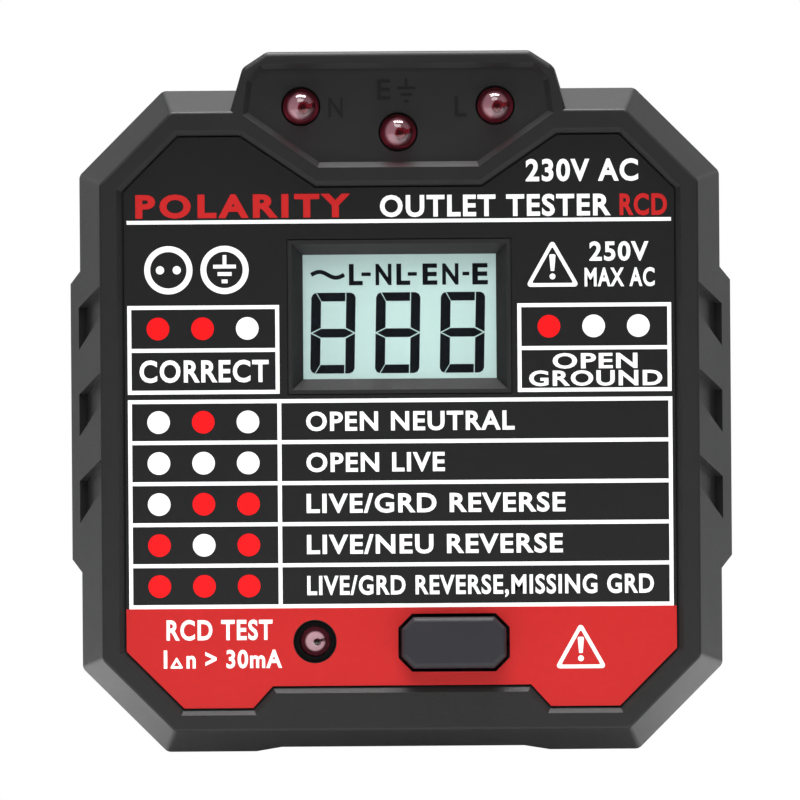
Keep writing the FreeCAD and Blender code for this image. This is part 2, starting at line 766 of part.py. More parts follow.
# ---------------------------------------------------------------- rear cover
def make_rear_cover():
    body = new_body("rear_cover")
    outline = draw_polygon(new_sketch(body, "outline", "rear_bevel_start"), octagon("0"))
    pad(body, outline, "parting - rear_bevel_start")
    bevel = draw_polygon(new_sketch(body, "bevel", "rear_bevel_start"), octagon("0"))
    pad(body, bevel, "rear_bevel_depth", slope="-atan(rear_bevel_width / rear_bevel_depth)",
        backwards=True)
    round_edges(body, along_depth, "corner_round")
    rear = -SIZES["plug_depth"]
    round_edges(body, lambda edge: at_depth(edge, rear), "edge_round")
    join_tab(body, "rear_face + tab_rear_setback", "parting - rear_face - tab_rear_setback")
    side_grips(body, "rear_face", "parting - rear_face")
    slope_cut(body, "grip_slope", "rear_face", "rear_bevel_width", "rear_bevel_depth", "1")
    cut_finger_notch(body, "rear_face", "rear_depth")
    break_seam_edge(body)

    inset = "case_wall + rear_bevel_width"
    hollow = draw_polygon(new_sketch(body, "hollow", "parting"), octagon("case_wall"))
    pocket(body, hollow, "parting - rear_bevel_start")
    hollow_back = draw_polygon(new_sketch(body, "hollow_back", "parting"), octagon(inset))
    pocket(body, hollow_back, "parting - rear_inside")
    hollow_tab = draw_polygon(new_sketch(body, "hollow_tab", "parting"), tab_outline("case_wall"))
    pocket(body, hollow_tab, "parting - rear_face - tab_rear_setback - rear_wall")

    # bosses for the case screws, posts under the board
    bosses = new_sketch(body, "bosses", "rear_face + rear_wall / 2")
    for x, z in four_places("boss_x", "boss_height"):
        draw_circle(bosses, x, z, "screw_head_radius + screw_gap + screw_seat / 2")
    pad(body, bosses, "case_screw_seat + screw_seat - rear_face - rear_wall / 2")
    tubes = new_sketch(body, "tubes", "case_screw_seat")
    for x, z in four_places("boss_x", "boss_height"):
        draw_circle(tubes, x, z, "boss_radius")
    pad(body, tubes, "parting - case_screw_seat")
    posts = new_sketch(body, "posts", "rear_face + rear_wall / 2")
    for x, z in four_places("post_x", "post_height"):
        draw_circle(posts, x, z, "post_radius")
    pad(body, posts, "board_back - rear_face - rear_wall / 2")

    shafts = new_sketch(body, "shafts", "parting")
    for x, z in four_places("boss_x", "boss_height"):
        draw_circle(shafts, x, z, "screw_radius + screw_gap")
    pocket(body, shafts, "rear_depth")
    heads = new_sketch(body, "heads", "rear_face")
    for x, z in four_places("boss_x", "boss_height"):
        draw_circle(heads, x, z, "screw_head_radius + screw_gap")
    pocket(body, heads, "screw_head_depth", forwards=True)
    mouth = new_sketch(body, "mouth", "rear_face")
    draw_circle(mouth, "0", "0", "insert_radius + insert_gap")
    pocket(body, mouth, "rear_wall + insert_flange", forwards=True)


# ---------------------------------------------------------------- plug
def make_plug_base():
    """Round insert with side guides, earth clip slots, pin holes and pillars for the board."""
    body = new_body("plug_base")
    insert = draw_circle(new_sketch(body, "insert"), "0", "0", "insert_radius")
    pad(body, insert, "flange_front")
    round_edges(body, lambda edge: at_depth(edge, 0), "insert_edge")
    flange = draw_circle(new_sketch(body, "flange", "rear_inside"), "0", "0", "flange_radius")
    pad(body, flange, "insert_flange")
    hollow = draw_circle(new_sketch(body, "hollow", "insert_face"), "0", "0", "insert_hollow")
    pocket(body, hollow, "flange_front - insert_face", forwards=True)

    pillars = new_sketch(body, "pillars", "rear_inside")
    for x, z in four_places("pillar_x", "pillar_z"):
        draw_circle(pillars, x, z, "pillar_radius")
    pad(body, pillars, "board_back - rear_inside")
    pilots = new_sketch(body, "pilots", "board_back")
    for x, z in four_places("pillar_x", "pillar_z"):
        draw_circle(pilots, x, z, "board_screw_radius + thread_gap")
    pocket(body, pilots, "board_screw_bite + pilot_room")

    earth_boss = new_sketch(body, "earth_boss", "insert_face / 2")
    draw_circle(earth_boss, "0", "earth_hole_height", "sleeve_boss_radius")
    pad(body, earth_boss, "earth_bore_end + earth_boss_end - insert_face / 2")

    # side guides and clip slots, open towards the pin face
    guides = new_sketch(body, "guides", "0")
    slots = new_sketch(body, "slots", "0")
    slits = new_sketch(body, "slits", "0")
    for side in ("", "-"):
        draw_rectangle(guides, f"{side}(guide_floor + insert_radius / 2)", "0",
                       "insert_radius", "guide_width")
        draw_rectangle(slots, "0", f"{side}(clip_back - clip_gap / 2 + insert_radius / 2)",
                       "clip_slot_width", "insert_radius")
        draw_rectangle(slits, "0", f"{side}(clip_back + clip_thickness / 2)",
                       "clip_width + 2 * clip_gap", "clip_thickness + 2 * clip_gap")
    pocket(body, guides, "rear_face - guide_setback", forwards=True)
    pocket(body, slots, "rear_face + clip_slot_room", forwards=True)
    pocket(body, slits, "flange_front + cut_through", forwards=True)

    holes = new_sketch(body, "holes", "0")
    for side in ("", "-"):
        draw_circle(holes, f"{side}pin_x", "0", "pin_neck_radius + pin_gap")
    draw_circle(holes, "0", "earth_hole_height", "earth_bore_radius + earth_mouth_gap")
    pocket(body, holes, "insert_face", forwards=True)
    mouths = new_sketch(body, "mouths", "0")
    for side in ("", "-"):
        draw_circle(mouths, f"{side}pin_x", "0", "pin_radius + pin_mouth_gap")
    pocket(body, mouths, "pin_mouth_depth", forwards=True)
    sleeve_seat = new_sketch(body, "sleeve_seat", "earth_lip")
    draw_circle(sleeve_seat, "0", "earth_hole_height", "sleeve_radius + sleeve_gap")
    pocket(body, sleeve_seat, "earth_bore_end + 2 * cut_through", forwards=True)


def make_pin(label, side):
    """A round pin with a rounded tip, a neck in the insert, a shoulder behind it and a wire tail."""
    body = new_body(label)
    sketch = new_sketch(body, "profile", "0", "XY_Plane")
    draw_polygon(sketch, [
        ("0", "pin_reach"), ("pin_radius", "pin_reach"),
        ("pin_radius", "0"), ("pin_neck_radius", "0"),
        ("pin_neck_radius", "-insert_face"), ("pin_shoulder_radius", "-insert_face"),
        ("pin_shoulder_radius", "-(insert_face + pin_shoulder)"),
        ("pin_tail_radius", "-(insert_face + pin_shoulder)"),
        ("pin_tail_radius", "-pin_tail_end"), ("0", "-pin_tail_end")])
    revolve(body, sketch)
    tip = SIZES["pin_reach"]
    round_edges(body, lambda edge: at_depth(edge, tip), "pin_tip_round")
    body.setExpression("Placement.Base.x", formula(f"{side}pin_x"))


def make_earth_clip(label, side):
    """A brass strip in its slot, its foot bent inwards behind the flange."""
    body = new_body(label)
    sketch = new_sketch(body, "profile", "0", "YZ_Plane")
    draw_polygon(sketch, [
        ("-clip_setback", f"{side}clip_back"), ("-clip_setback", f"{side}clip_face"),
        ("-clip_foot_front", f"{side}clip_face"),
        ("-clip_foot_front", f"{side}(clip_back - clip_foot)"),
        ("-flange_front", f"{side}(clip_back - clip_foot)"),
        ("-flange_front", f"{side}clip_back")])
    pad(body, sketch, "clip_width", both_ways=True)


def make_earth_sleeve():
    """The brass socket for an earth pin that stands in the wall outlet."""
    body = new_body("earth_sleeve")
    sketch = new_sketch(body, "tube", "earth_lip")
    draw_circle(sketch, "0", "earth_hole_height", "sleeve_radius")
    pad(body, sketch, "clip_foot_front - earth_lip")
    bore = new_sketch(body, "bore", "earth_lip")
    draw_circle(bore, "0", "earth_hole_height", "earth_bore_radius")
    pocket(body, bore, "earth_bore_depth", forwards=True)


def make_earth_bridge():
    """The plate that joins both clips and the sleeve."""
    add_node(block("earth_bridge", "0", "0", "clip_width", "2 * clip_face",
                   "clip_foot_front", "bridge_thickness"), "earth_bridge")


# ---------------------------------------------------------------- label and display
def make_label_overlay():
    body = new_body("label_overlay")
    pad(body, draw_polygon(new_sketch(body, "outline", "bed"), label_outline()), "label_thickness")
    holes = new_sketch(body, "holes", "label_front")
    draw_rectangle(holes, "0", "display_height", "rim_width + 2 * label_hole_gap",
                   "rim_height + 2 * label_hole_gap")
    draw_circle(holes, "test_lamp_x", "test_lamp_z", "shroud_radius + shroud_gap + label_hole_gap")
    draw_button_hole(holes)
    pocket(body, holes, "label_thickness + cut_through")


def make_display():
    height = "display_height"
    window = block("lcd_window", "0", height, "window_width", "window_height",
                   "panel_inside", "window_thickness")
    add_node(window, "lcd_window")
    glass = block("lcd_glass", "0", height, "glass_width", "glass_height",
                  "glass_back", "glass_thickness")
    add_node(glass, "lcd_glass")

    # the backlight leaves room below it for the contact strip
    room = "strip_setback + strip_thickness + holder_gap"
    light = block("lcd_backlight", "0", f"display_height + ({room}) / 2", "glass_width",
                  f"glass_height - ({room})", "backlight_back", "backlight_thickness")
    add_node(light, "lcd_backlight")
    strip_z = "holder_bottom + strip_setback + strip_thickness / 2"
    strip = block("lcd_contact_strip", "0", strip_z, "view_width + holder_gap",
                  "strip_thickness", "board_front", "glass_back - board_front")
    add_node(strip, "lcd_contact_strip")

    body = new_body("lcd_holder")
    outline = new_sketch(body, "outline", "board_front")
    draw_rectangle(outline, "0", height, "holder_width", "holder_height")
    pad(body, outline, "glass_front - board_front")
    well = new_sketch(body, "well", "backlight_back")
    draw_rectangle(well, "0", height, "glass_width + 2 * holder_gap",
                   "glass_height + 2 * holder_gap")
    pocket(body, well, "glass_front - backlight_back", forwards=True)
    under = new_sketch(body, "under", "board_front")
    draw_rectangle(under, "0", height, "glass_width", "glass_height")
    pocket(body, under, "holder_floor_back - board_front", forwards=True)
    slot = new_sketch(body, "slot", "board_front")
    draw_rectangle(slot, "0", strip_z, "view_width + 3 * holder_gap",
                   "strip_thickness + 2 * holder_gap")
    pocket(body, slot, "glass_front - board_front", forwards=True)


# ---------------------------------------------------------------- lamps
def make_lamp(label, x, z, back, flange_radius):
    """A round lamp about its own axis: flange, barrel and domed end, set at x and z."""
    body = new_body(label)
    flange = draw_circle(new_sketch(body, "flange", back), "0", "0", flange_radius)
    pad(body, flange, "lamp_flange")
    barrel = draw_circle(new_sketch(body, "barrel", back), "0", "0", "lamp_radius")
    pad(body, barrel, "lamp_flange + lamp_barrel + lamp_radius")
    front = lowest_y(body)
    round_edges(body, lambda edge: at_depth(edge, front), "lamp_radius - lamp_tip_flat")
    body.setExpression("Placement.Base.x", formula(x))
    body.setExpression("Placement.Base.z", formula(z))


def make_lamps():
    places = [
        ("led_neutral", "-side_lamp_half", "side_lamp_height", "lamp_back", "lamp_flange_radius"),
        ("led_earth", "0", "middle_lamp_height", "lamp_back", "lamp_flange_radius"),
        ("led_live", "side_lamp_half", "side_lamp_height", "lamp_back", "lamp_flange_radius"),
        ("led_rcd", "test_lamp_x", "test_lamp_z", "test_lamp_back", "lamp_radius")]
    leads = []
    for label, x, z, back, flange_radius in places:
        make_lamp(label, x, z, back, flange_radius)
        for side in ("-", "+"):
            leads.append(block(f"{label}_lead", f"{x} {side} lead_pitch / 4 {side} lead_width / 4",
                               z, "lead_width", "lead_width", "board_front",
                               f"{back} - board_front"))
    add_node(grouped("led_leads", leads), "led_leads")

    shroud = new_body("led_shroud")
    tube = new_sketch(shroud, "tube", "board_front")
    draw_circle(tube, "test_lamp_x", "test_lamp_z", "shroud_radius")
    pad(shroud, tube, "shroud_front - board_front")
    bore = new_sketch(shroud, "bore", "board_front")
    draw_circle(bore, "test_lamp_x", "test_lamp_z", "shroud_bore")
    pocket(shroud, bore, "shroud_front - board_front + cut_through", forwards=True)


# ---------------------------------------------------------------- button and switch
def make_button():
    body = new_body("rcd_button")
    cap = new_sketch(body, "cap", "button_flange_back")
    draw_cut_rectangle(cap, "button_x", "button_z", "button_width", "button_height", "button_cut")
    pad(body, cap, "button_front - button_flange_back")
    round_edges(body, along_depth, "button_corner")
    front = lowest_y(body)
    round_edges(body, lambda edge: at_depth(edge, front), "button_edge")
    flange = new_sketch(body, "flange", "button_flange_back")
    draw_rectangle(flange, "button_x", "button_z", "button_width + 2 * button_lap",
                   "button_height + 2 * button_lap")
    pad(body, flange, "button_flange")


def make_switch():
    plunger_back = "board_front + plunger_depth + button_travel"
    plunger = rod("switch_plunger", "button_x", "button_z", "plunger_radius",
                  plunger_back, f"button_flange_back - ({plunger_back})")
    add_node(plunger, "switch_plunger")

    body = new_body("switch_body")
    outline = new_sketch(body, "outline", "board_front")
    draw_rectangle(outline, "button_x", "button_z", "switch_width", "switch_width")
    pad(body, outline, "switch_height")
    well = new_sketch(body, "well", "switch_front")
    draw_circle(well, "button_x", "button_z", "plunger_radius + plunger_gap")
    pocket(body, well, "switch_height - plunger_depth / 2")

    # the return spring stands on the switch and pushes the button's flange
    room = "button_flange_back - switch_front"
    coil = document.addObject("Part::Helix", "spring_path")
    coil.setExpression("Radius", formula("spring_radius"))
    coil.setExpression("Height", formula(f"{room} - 2 * spring_wire"))
    coil.setExpression("Pitch", formula(f"({room} - 2 * spring_wire) / spring_turns"))
    coil.SegmentLength = 1
    wire = document.addObject("Part::Circle", "spring_section")
    wire.setExpression("Radius", formula("spring_wire"))
    wire.Placement = FreeCAD.Placement(FreeCAD.Vector(), FORWARDS)
    wire.setExpression("Placement.Base.x", formula("spring_radius"))
    document.recompute()
    spring = document.addObject("Part::Sweep", "button_spring")
    spring.Sections = [wire]
    spring.Spine = (coil, [f"Edge{k + 1}" for k in range(len(coil.Shape.Edges))])
    spring.Solid = True
    spring.Frenet = True
    spring.Placement = FreeCAD.Placement(FreeCAD.Vector(), FORWARDS)
    place(spring, "button_x", "switch_front + spring_wire", "button_z")
    add_node(spring, "button_spring")


# ---------------------------------------------------------------- board
def make_board():
    body = new_body("main_board")
    outline = new_sketch(body, "outline", "board_back")
    draw_polygon(outline, mirrored_corners([
        ("tongue_half", "board_top + tongue_rise"), ("tongue_half", "board_top"),
        ("board_half", "board_top"), ("board_half", "-board_bottom")]))
    pad(body, outline, "board_thickness")
    holes = new_sketch(body, "holes", "board_front")
    for x, z in four_places("pillar_x", "pillar_z"):
        draw_circle(holes, x, z, "board_screw_radius + screw_gap / 2")
    pocket(body, holes, "board_thickness + cut_through")

    chip = block("mcu_chip", "chip_x", "chip_z", "chip_width", "chip_width",
                 "board_front", "chip_height")
    add_node(chip, "mcu_chip")
    dropper = block("dropper_capacitor", "0", "dropper_z", "dropper_width", "dropper_height",
                    "board_back - dropper_depth", "dropper_depth")
    add_node(dropper, "dropper_capacitor")
    can = rod("filter_capacitor", "can_x", "0", "can_radius", "board_back - can_length",
              "can_length")
    add_node(can, "filter_capacitor")
    disc = lying_rod("varistor", "disc_x", "0", "disc_radius", "board_back - disc_radius",
                     "disc_thickness")
    add_node(disc, "varistor")
    fuse = lying_rod("fuse", "0", "fuse_z", "fuse_radius", "board_back - fuse_radius",
                     "fuse_length")
    add_node(fuse, "fuse")
    rectifier = block("bridge_rectifier", "rectifier_x", "rectifier_z", "rectifier_width",
                      "rectifier_height", "board_back - rectifier_depth", "rectifier_depth")
    add_node(rectifier, "bridge_rectifier")
    resistors = []
    for side in ("-", "+"):
        resistors.append(lying_rod("resistor", "resistor_x",
                                   f"resistor_z {side} resistor_pitch / 2", "resistor_radius",
                                   "board_back - resistor_radius", "resistor_length"))
    add_node(grouped("load_resistors", resistors), "load_resistors")


def make_wires():
    """Hook-up wires from the pins and the earth bridge to the back of the board."""
    for label, x in (("live_wire", "pin_x"), ("neutral_wire", "-pin_x")):
        add_node(rod(label, x, "0", "wire_radius", "pin_tail_end", "board_back - pin_tail_end"),
                 label)
    add_node(rod("earth_wire", "0", "-earth_wire_drop", "wire_radius", "bridge_front",
                 "board_back - bridge_front"), "earth_wire")


# ---------------------------------------------------------------- screws
def make_screws(label, places, head_back, head_radius, shaft_radius, reach, forwards):
    """Four cross-head screws as one node; reach is the shaft's length under the head."""
    body = new_body(label)
    head_front = f"{head_back} + screw_head_height"
    under_head, top_of_head = (head_front, head_back) if forwards else (head_back, head_front)
    heads = new_sketch(body, "heads", head_back)
    shafts = new_sketch(body, "shafts", under_head)
    upright = new_sketch(body, "upright", top_of_head)
    level = new_sketch(body, "level", top_of_head)
    for x, z in places:
        draw_circle(heads, x, z, head_radius)
        draw_circle(shafts, x, z, shaft_radius)
        draw_rectangle(upright, x, z, "driver_slot", "driver_width")
        draw_rectangle(level, x, z, "driver_width", "driver_slot")
    pad(body, heads, "screw_head_height")
    pad(body, shafts, reach, backwards=not forwards)
    for slot in (upright, level):
        pocket(body, slot, "driver_depth", forwards=forwards)


make_front_cover()
make_rear_cover()
make_plug_base()
make_pin("live_pin", "")
make_pin("neutral_pin", "-")
make_earth_clip("earth_clip_top", "")
make_earth_clip("earth_clip_bottom", "-")
make_earth_sleeve()
make_earth_bridge()
make_label_overlay()
make_display()
make_lamps()
make_button()
make_switch()
make_board()
make_wires()
make_screws("case_screws", four_places("boss_x", "boss_height"),
            "case_screw_seat - screw_head_height", "screw_head_radius", "screw_radius",
            "parting + screw_bite - case_screw_seat", True)
make_screws("board_screws", four_places("pillar_x", "pillar_z"),
            "board_front", "board_screw_head", "board_screw_radius",
            "board_thickness + board_screw_bite", False)

# ---------------------------------------------------------------- check and write
document.recompute()
for thing in document.Objects:
    if "Invalid" in thing.State or "Error" in thing.State:
        raise RuntimeError(f"{thing.Label} failed: {thing.State}")
    if thing.TypeId == "PartDesign::Pocket":
        if thing.Shape.Volume > thing.BaseFeature.Shape.Volume - 1e-6:
            raise RuntimeError(f"{thing.Label} cuts nothing")

os.makedirs("parts", exist_ok=True)
for node in nodes:
    if node.Shape.isNull() or not node.Shape.isValid():
        raise RuntimeError(f"{node.Label} has no valid shape")
for node in nodes:
    node.Shape.exportStep(f"parts/{node.Label}.step")
    box = node.Shape.BoundBox
    print(f"{node.Label:20s} solids {len(node.Shape.Solids)} volume {node.Shape.Volume:9.1f} "
          f"x {box.XMin:6.1f} {box.XMax:6.1f} y {box.YMin:6.1f} {box.YMax:6.1f} "
          f"z {box.ZMin:6.1f} {box.ZMax:6.1f}")
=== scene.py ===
# %% [markdown]
# # Outlet tester plug
#
# A hand-sized tester that plugs into a wall outlet. Three lamps on its head show how the outlet
# is wired, a small display shows the voltage, and a button trips the safety switch.
#
# The moulded shell, the plug, the lamps and all that is inside come from the engineering model,
# each as its own node. This lesson gives every node its real finish, and adds what a printer, a
# display maker and a lamp maker would add: inks, liquid crystal segments, lamp innards.

# %% Load the engineering model
import math

import bmesh
import bpy
import numpy as np
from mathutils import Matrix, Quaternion, Vector


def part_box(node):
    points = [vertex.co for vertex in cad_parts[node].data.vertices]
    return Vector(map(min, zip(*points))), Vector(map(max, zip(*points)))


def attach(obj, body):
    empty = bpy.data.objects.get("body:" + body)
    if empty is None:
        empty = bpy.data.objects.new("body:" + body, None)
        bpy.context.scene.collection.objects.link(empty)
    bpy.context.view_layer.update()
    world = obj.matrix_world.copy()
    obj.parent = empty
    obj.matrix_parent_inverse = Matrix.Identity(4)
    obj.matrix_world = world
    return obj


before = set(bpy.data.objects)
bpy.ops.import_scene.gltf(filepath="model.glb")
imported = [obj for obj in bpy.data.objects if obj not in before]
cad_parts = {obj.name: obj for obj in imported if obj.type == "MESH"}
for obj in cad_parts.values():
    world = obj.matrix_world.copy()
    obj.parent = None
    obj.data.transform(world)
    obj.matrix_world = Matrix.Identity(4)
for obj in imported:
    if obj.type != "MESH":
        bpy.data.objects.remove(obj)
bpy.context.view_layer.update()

# %% [markdown]
# ## Millimetres and stations
#
# The model is in metres and a drawing of such a small thing is in millimetres, so every size
# below is in millimetres and is turned into metres only where a mesh or a light is made. The
# stations are distances forward of the wall, read from the nodes themselves, so a print stays on
# its label when the shell is redrawn.

# %% Units and stations
MM = 0.001


def span(node):
    """The lowest and highest corner of a node, in millimetres."""
    low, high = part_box(node)
    return np.array(low) / MM, np.array(high) / MM


label_low, label_high = span("label_overlay")
glass_low, glass_high = span("lcd_glass")
case_low, case_high = span("front_cover")
LABEL_FRONT = -label_low[1]
GLASS_FRONT = -glass_low[1]
CASE_FRONT = -case_low[1]
TAB_BED_DEPTH = 0.6
TAB_BED = CASE_FRONT - TAB_BED_DEPTH
print("label front", round(LABEL_FRONT, 2), "glass front", round(GLASS_FRONT, 2))

# %% [markdown]
# ## Camera
#
# A maker's catalogue shows a tester square on, from far away with a long lens, so that the
# printed table stays square. The camera stands a hair to the right and leans a hair, as a
# hand-held one does.

# %% Camera
SENSOR = 36.0
FIELD_WIDTH = 81.1
CAMERA_DISTANCE = 3000.0
CAMERA_YAW = math.radians(0.6)
CAMERA_PITCH = math.radians(0.3)
CAMERA_ROLL = math.radians(-0.42)
AIM = Vector((0.0, -CASE_FRONT, 2.03))

back = Vector((math.sin(CAMERA_YAW) * math.cos(CAMERA_PITCH),
               -math.cos(CAMERA_YAW) * math.cos(CAMERA_PITCH),
               math.sin(CAMERA_PITCH)))
camera = bpy.data.objects.new("camera", bpy.data.cameras.new("camera"))
bpy.context.collection.objects.link(camera)
camera.location = (AIM + back * CAMERA_DISTANCE) * MM
camera.rotation_mode = "QUATERNION"
camera.rotation_quaternion = (-back).to_track_quat("-Z", "Y") @ Quaternion((0, 0, 1), CAMERA_ROLL)
camera.data.sensor_width = SENSOR
camera.data.lens = SENSOR * CAMERA_DISTANCE / FIELD_WIDTH
camera.data.clip_start = 0.1
camera.data.clip_end = 20.0
bpy.context.scene.camera = camera
bpy.context.scene.view_settings.view_transform = "Standard"
print("lens", round(camera.data.lens), "mm")

# %% [markdown]
# ## Shader sums
#
# A finish is easier to read as a sum than as a wiring diagram. `Signal` wraps one output of a
# shader node, and the usual operators add Math nodes behind it. `Finish` is one material: its
# `node` method adds any other node, with its settings first and its sockets after.

# %% Signals and finishes
class Signal:
    """One output of a shader node, on which ordinary sums add Math nodes."""

    def __init__(self, finish, socket):
        self.finish = finish
        self.socket = socket

    def maths(self, operation, *values):
        return self.finish.node("ShaderNodeMath", {"operation": operation},
                                dict(enumerate(values)))

    def __add__(self, other):
        return self.maths("ADD", self, other)

    __radd__ = __add__

    def __sub__(self, other):
        return self.maths("SUBTRACT", self, other)

    def __rsub__(self, other):
        return self.maths("SUBTRACT", other, self)

    def __mul__(self, other):
        return self.maths("MULTIPLY", self, other)

    __rmul__ = __mul__

    def __gt__(self, other):
        return self.maths("GREATER_THAN", self, other)

    def __lt__(self, other):
        return self.maths("LESS_THAN", self, other)


class Finish:
    """One material with a Principled shader, patterned in millimetres of the piece's own space."""

    def __init__(self, name, colour, roughness, metallic=0.0):
        self.material = bpy.data.materials.new(name)
        self.material.use_nodes = True
        self.tree = self.material.node_tree
        self.shader = self.tree.nodes["Principled BSDF"]
        self.set("Base Color", (*colour, 1.0))
        self.set("Roughness", roughness)
        self.set("Metallic", metallic)
        self.colour = colour

    def set(self, socket, value):
        """Give a socket of the shader a plain value or a link."""
        self.feed(self.shader.inputs[socket], value)
        return self

    def feed(self, socket, value):
        if isinstance(value, Signal):
            self.tree.links.new(value.socket, socket)
        else:
            socket.default_value = value

    def node(self, kind, settings=None, sockets=None, output=0):
        """Add any node: settings are its properties, sockets its values or links."""
        made = self.tree.nodes.new(kind)
        for name, value in (settings or {}).items():
            if name == "stops":
                set_stops(made.color_ramp, value)
            else:
                setattr(made, name, value)
        for name, value in (sockets or {}).items():
            self.feed(made.inputs[name], value)
        return Signal(self, made.outputs[output])

    def place(self, stretch=(1.0, 1.0, 1.0), centre=(0.0, 0.0, 0.0)):
        """The place on the piece in millimetres from centre, stretched for a drawn-out pattern."""
        spot = self.node("ShaderNodeTexCoord", output="Object")
        scale = tuple(factor / MM for factor in stretch)
        shift = tuple(-factor * c for factor, c in zip(stretch, centre))
        return self.node("ShaderNodeMapping", None,
                         {"Vector": spot, "Scale": scale, "Location": shift})

    def noise(self, per_mm, detail=3.0, stretch=(1.0, 1.0, 1.0)):
        """Even noise from 0 to 1, with per_mm features to the millimetre."""
        return self.node("ShaderNodeTexNoise", None,
                         {"Vector": self.place(stretch), "Scale": per_mm, "Detail": detail})

    def blend(self, share, first, second):
        """Mix two colours, each a signal or three numbers."""
        pair = [c if isinstance(c, Signal) else (*c, 1.0) for c in (first, second)]
        made = self.tree.nodes.new("ShaderNodeMix")
        made.data_type = "RGBA"
        self.feed(made.inputs["Factor"], share)
        self.feed(made.inputs[6], pair[0])
        self.feed(made.inputs[7], pair[1])
        return Signal(self, made.outputs[2])

    def relief(self, height, depth, strength=1.0):
        """Feed the shader's normal with a bump of depth millimetres."""
        bump = self.node("ShaderNodeBump", None,
                         {"Height": height, "Distance": depth * MM, "Strength": strength})
        return self.set("Normal", bump)

    def mottle(self, per_mm, change, detail=3.0):
        """Darken and lighten the colour by a share, and return the noise behind it."""
        noise = self.noise(per_mm, detail)
        dark = tuple(c * (1 - change) for c in self.colour)
        light = tuple(min(1.0, c * (1 + change)) for c in self.colour)
        self.set("Base Color", self.blend(noise, dark, light))
        return noise


def set_stops(ramp, stops):
    """Give a colour ramp exactly these stops of place and colour."""
    while len(ramp.elements) > 1:
        ramp.elements.remove(ramp.elements[-1])
    for index, (place, colour) in enumerate(stops):
        element = ramp.elements[0] if index == 0 else ramp.elements.new(place)
        element.position = place
        element.color = (*colour, 1.0)


print("shader helpers ready")

# %% [markdown]
# ## Light and floor
#
# The studio is a floor of pale paper, a white surround and large soft boxes. On black plastic
# the boxes matter more as mirrors than as lamps: each slanted facet shows the box that it faces,
# so the boxes over and behind the tester draw its upper edges, and two weaker ones draw its
# sides. The tester hangs a finger's width above the paper, as its outlet would hold it, so that
# light also reaches its underside.

# %% Soft boxes
TARGET = Vector((0.0, -30.0, 0.0))


def soft_box(name, azimuth, elevation, distance, width, height, power):
    """A rectangular lamp that faces the tester; azimuth 0 is in front and 90 on the right."""
    turn, rise = math.radians(azimuth), math.radians(elevation)
    way = Vector((math.sin(turn) * math.cos(rise), -math.cos(turn) * math.cos(rise),
                  math.sin(rise)))
    lamp = bpy.data.lights.new(name, "AREA")
    lamp.shape = "RECTANGLE"
    lamp.size = width * MM
    lamp.size_y = height * MM
    lamp.energy = power
    box = bpy.data.objects.new(name, lamp)
    bpy.context.collection.objects.link(box)
    box.location = (TARGET + way * distance) * MM
    box.rotation_mode = "QUATERNION"
    box.rotation_quaternion = (-way).to_track_quat("-Z", "Y")
    return box


# name: azimuth and elevation in degrees, distance, width and height in millimetres, watts
SOFT_BOXES = {
    "key_box": (-4, 50, 700, 520, 320, 4.55),
    "top_box": (180, 62, 700, 520, 420, 0.9),
    "over_box": (0, 88, 500, 420, 200, 7.5),
    "rear_box": (180, 34, 800, 420, 260, 0.38),
    "left_box": (-144, 13, 700, 260, 380, 0.28),
    "right_box": (144, 13, 700, 260, 380, 0.32),
}
for name, setting in SOFT_BOXES.items():
    soft_box(name, *setting)

# %% Surround and floor
SURROUND_SEEN = 1.0
SURROUND_LIGHT = 0.06
SURROUND_TINT = (0.95, 0.97, 1.0, 1.0)
FLOOR_SIZE = 460.0
FLOOR_DROP = 10.0

world = bpy.data.worlds.new("studio")
bpy.context.scene.world = world
world.use_nodes = True
nodes, links = world.node_tree.nodes, world.node_tree.links
seen = nodes["Background"]
seen.inputs["Color"].default_value = (1.0, 1.0, 1.0, 1.0)
seen.inputs["Strength"].default_value = SURROUND_SEEN
dim = nodes.new("ShaderNodeBackground")
dim.inputs["Color"].default_value = SURROUND_TINT
dim.inputs["Strength"].default_value = SURROUND_LIGHT
path = nodes.new("ShaderNodeLightPath")
choose = nodes.new("ShaderNodeMixShader")
links.new(path.outputs["Is Camera Ray"], choose.inputs[0])
links.new(dim.outputs[0], choose.inputs[1])
links.new(seen.outputs[0], choose.inputs[2])
links.new(choose.outputs[0], nodes["World Output"].inputs["Surface"])

paper = Finish("floor_paper", (0.75, 0.75, 0.75), 0.85)
paper.relief(paper.noise(0.3), 0.05)
half = FLOOR_SIZE / 2
floor_mesh = bpy.data.meshes.new("floor")
floor_z = min(case_low[2], span("rear_cover")[0][2]) - FLOOR_DROP
floor_corners = np.array([(-half, -half, floor_z), (half, -half, floor_z),
                          (half, half, floor_z), (-half, half, floor_z)]) * MM
floor_mesh.from_pydata(floor_corners.tolist(), [], [(0, 1, 2, 3)])
floor_mesh.materials.append(paper.material)
floor = bpy.data.objects.new("floor", floor_mesh)
bpy.context.collection.objects.link(floor)
print("floor at", round(floor_z, 2), "mm")

# %% [markdown]
# ## The shell
#
# The covers are black ABS from a spark-eroded mould, which leaves a fine even grain: it is what
# makes the plastic grey instead of shiny. The grain is a bump from noise a fifth of a
# millimetre across, with slow changes of gloss where hands have polished it.

# %% Case, plug and button plastics
DULL = 0.2


def moulded(name, colour, roughness, grain_per_mm, grain_depth, gloss_change=0.08):
    """Moulded plastic: fine grain as relief, slow drifts of gloss and of shade."""
    finish = Finish(name, colour, roughness)
    finish.mottle(0.35, 0.10, 4.0)
    drift = finish.noise(0.12, 4.0)
    grain = finish.noise(grain_per_mm, 2.0)
    finish.set("Specular IOR Level", DULL)
    finish.set("Roughness", drift * gloss_change + grain * gloss_change + (roughness - gloss_change))
    return finish.relief(grain, grain_depth)


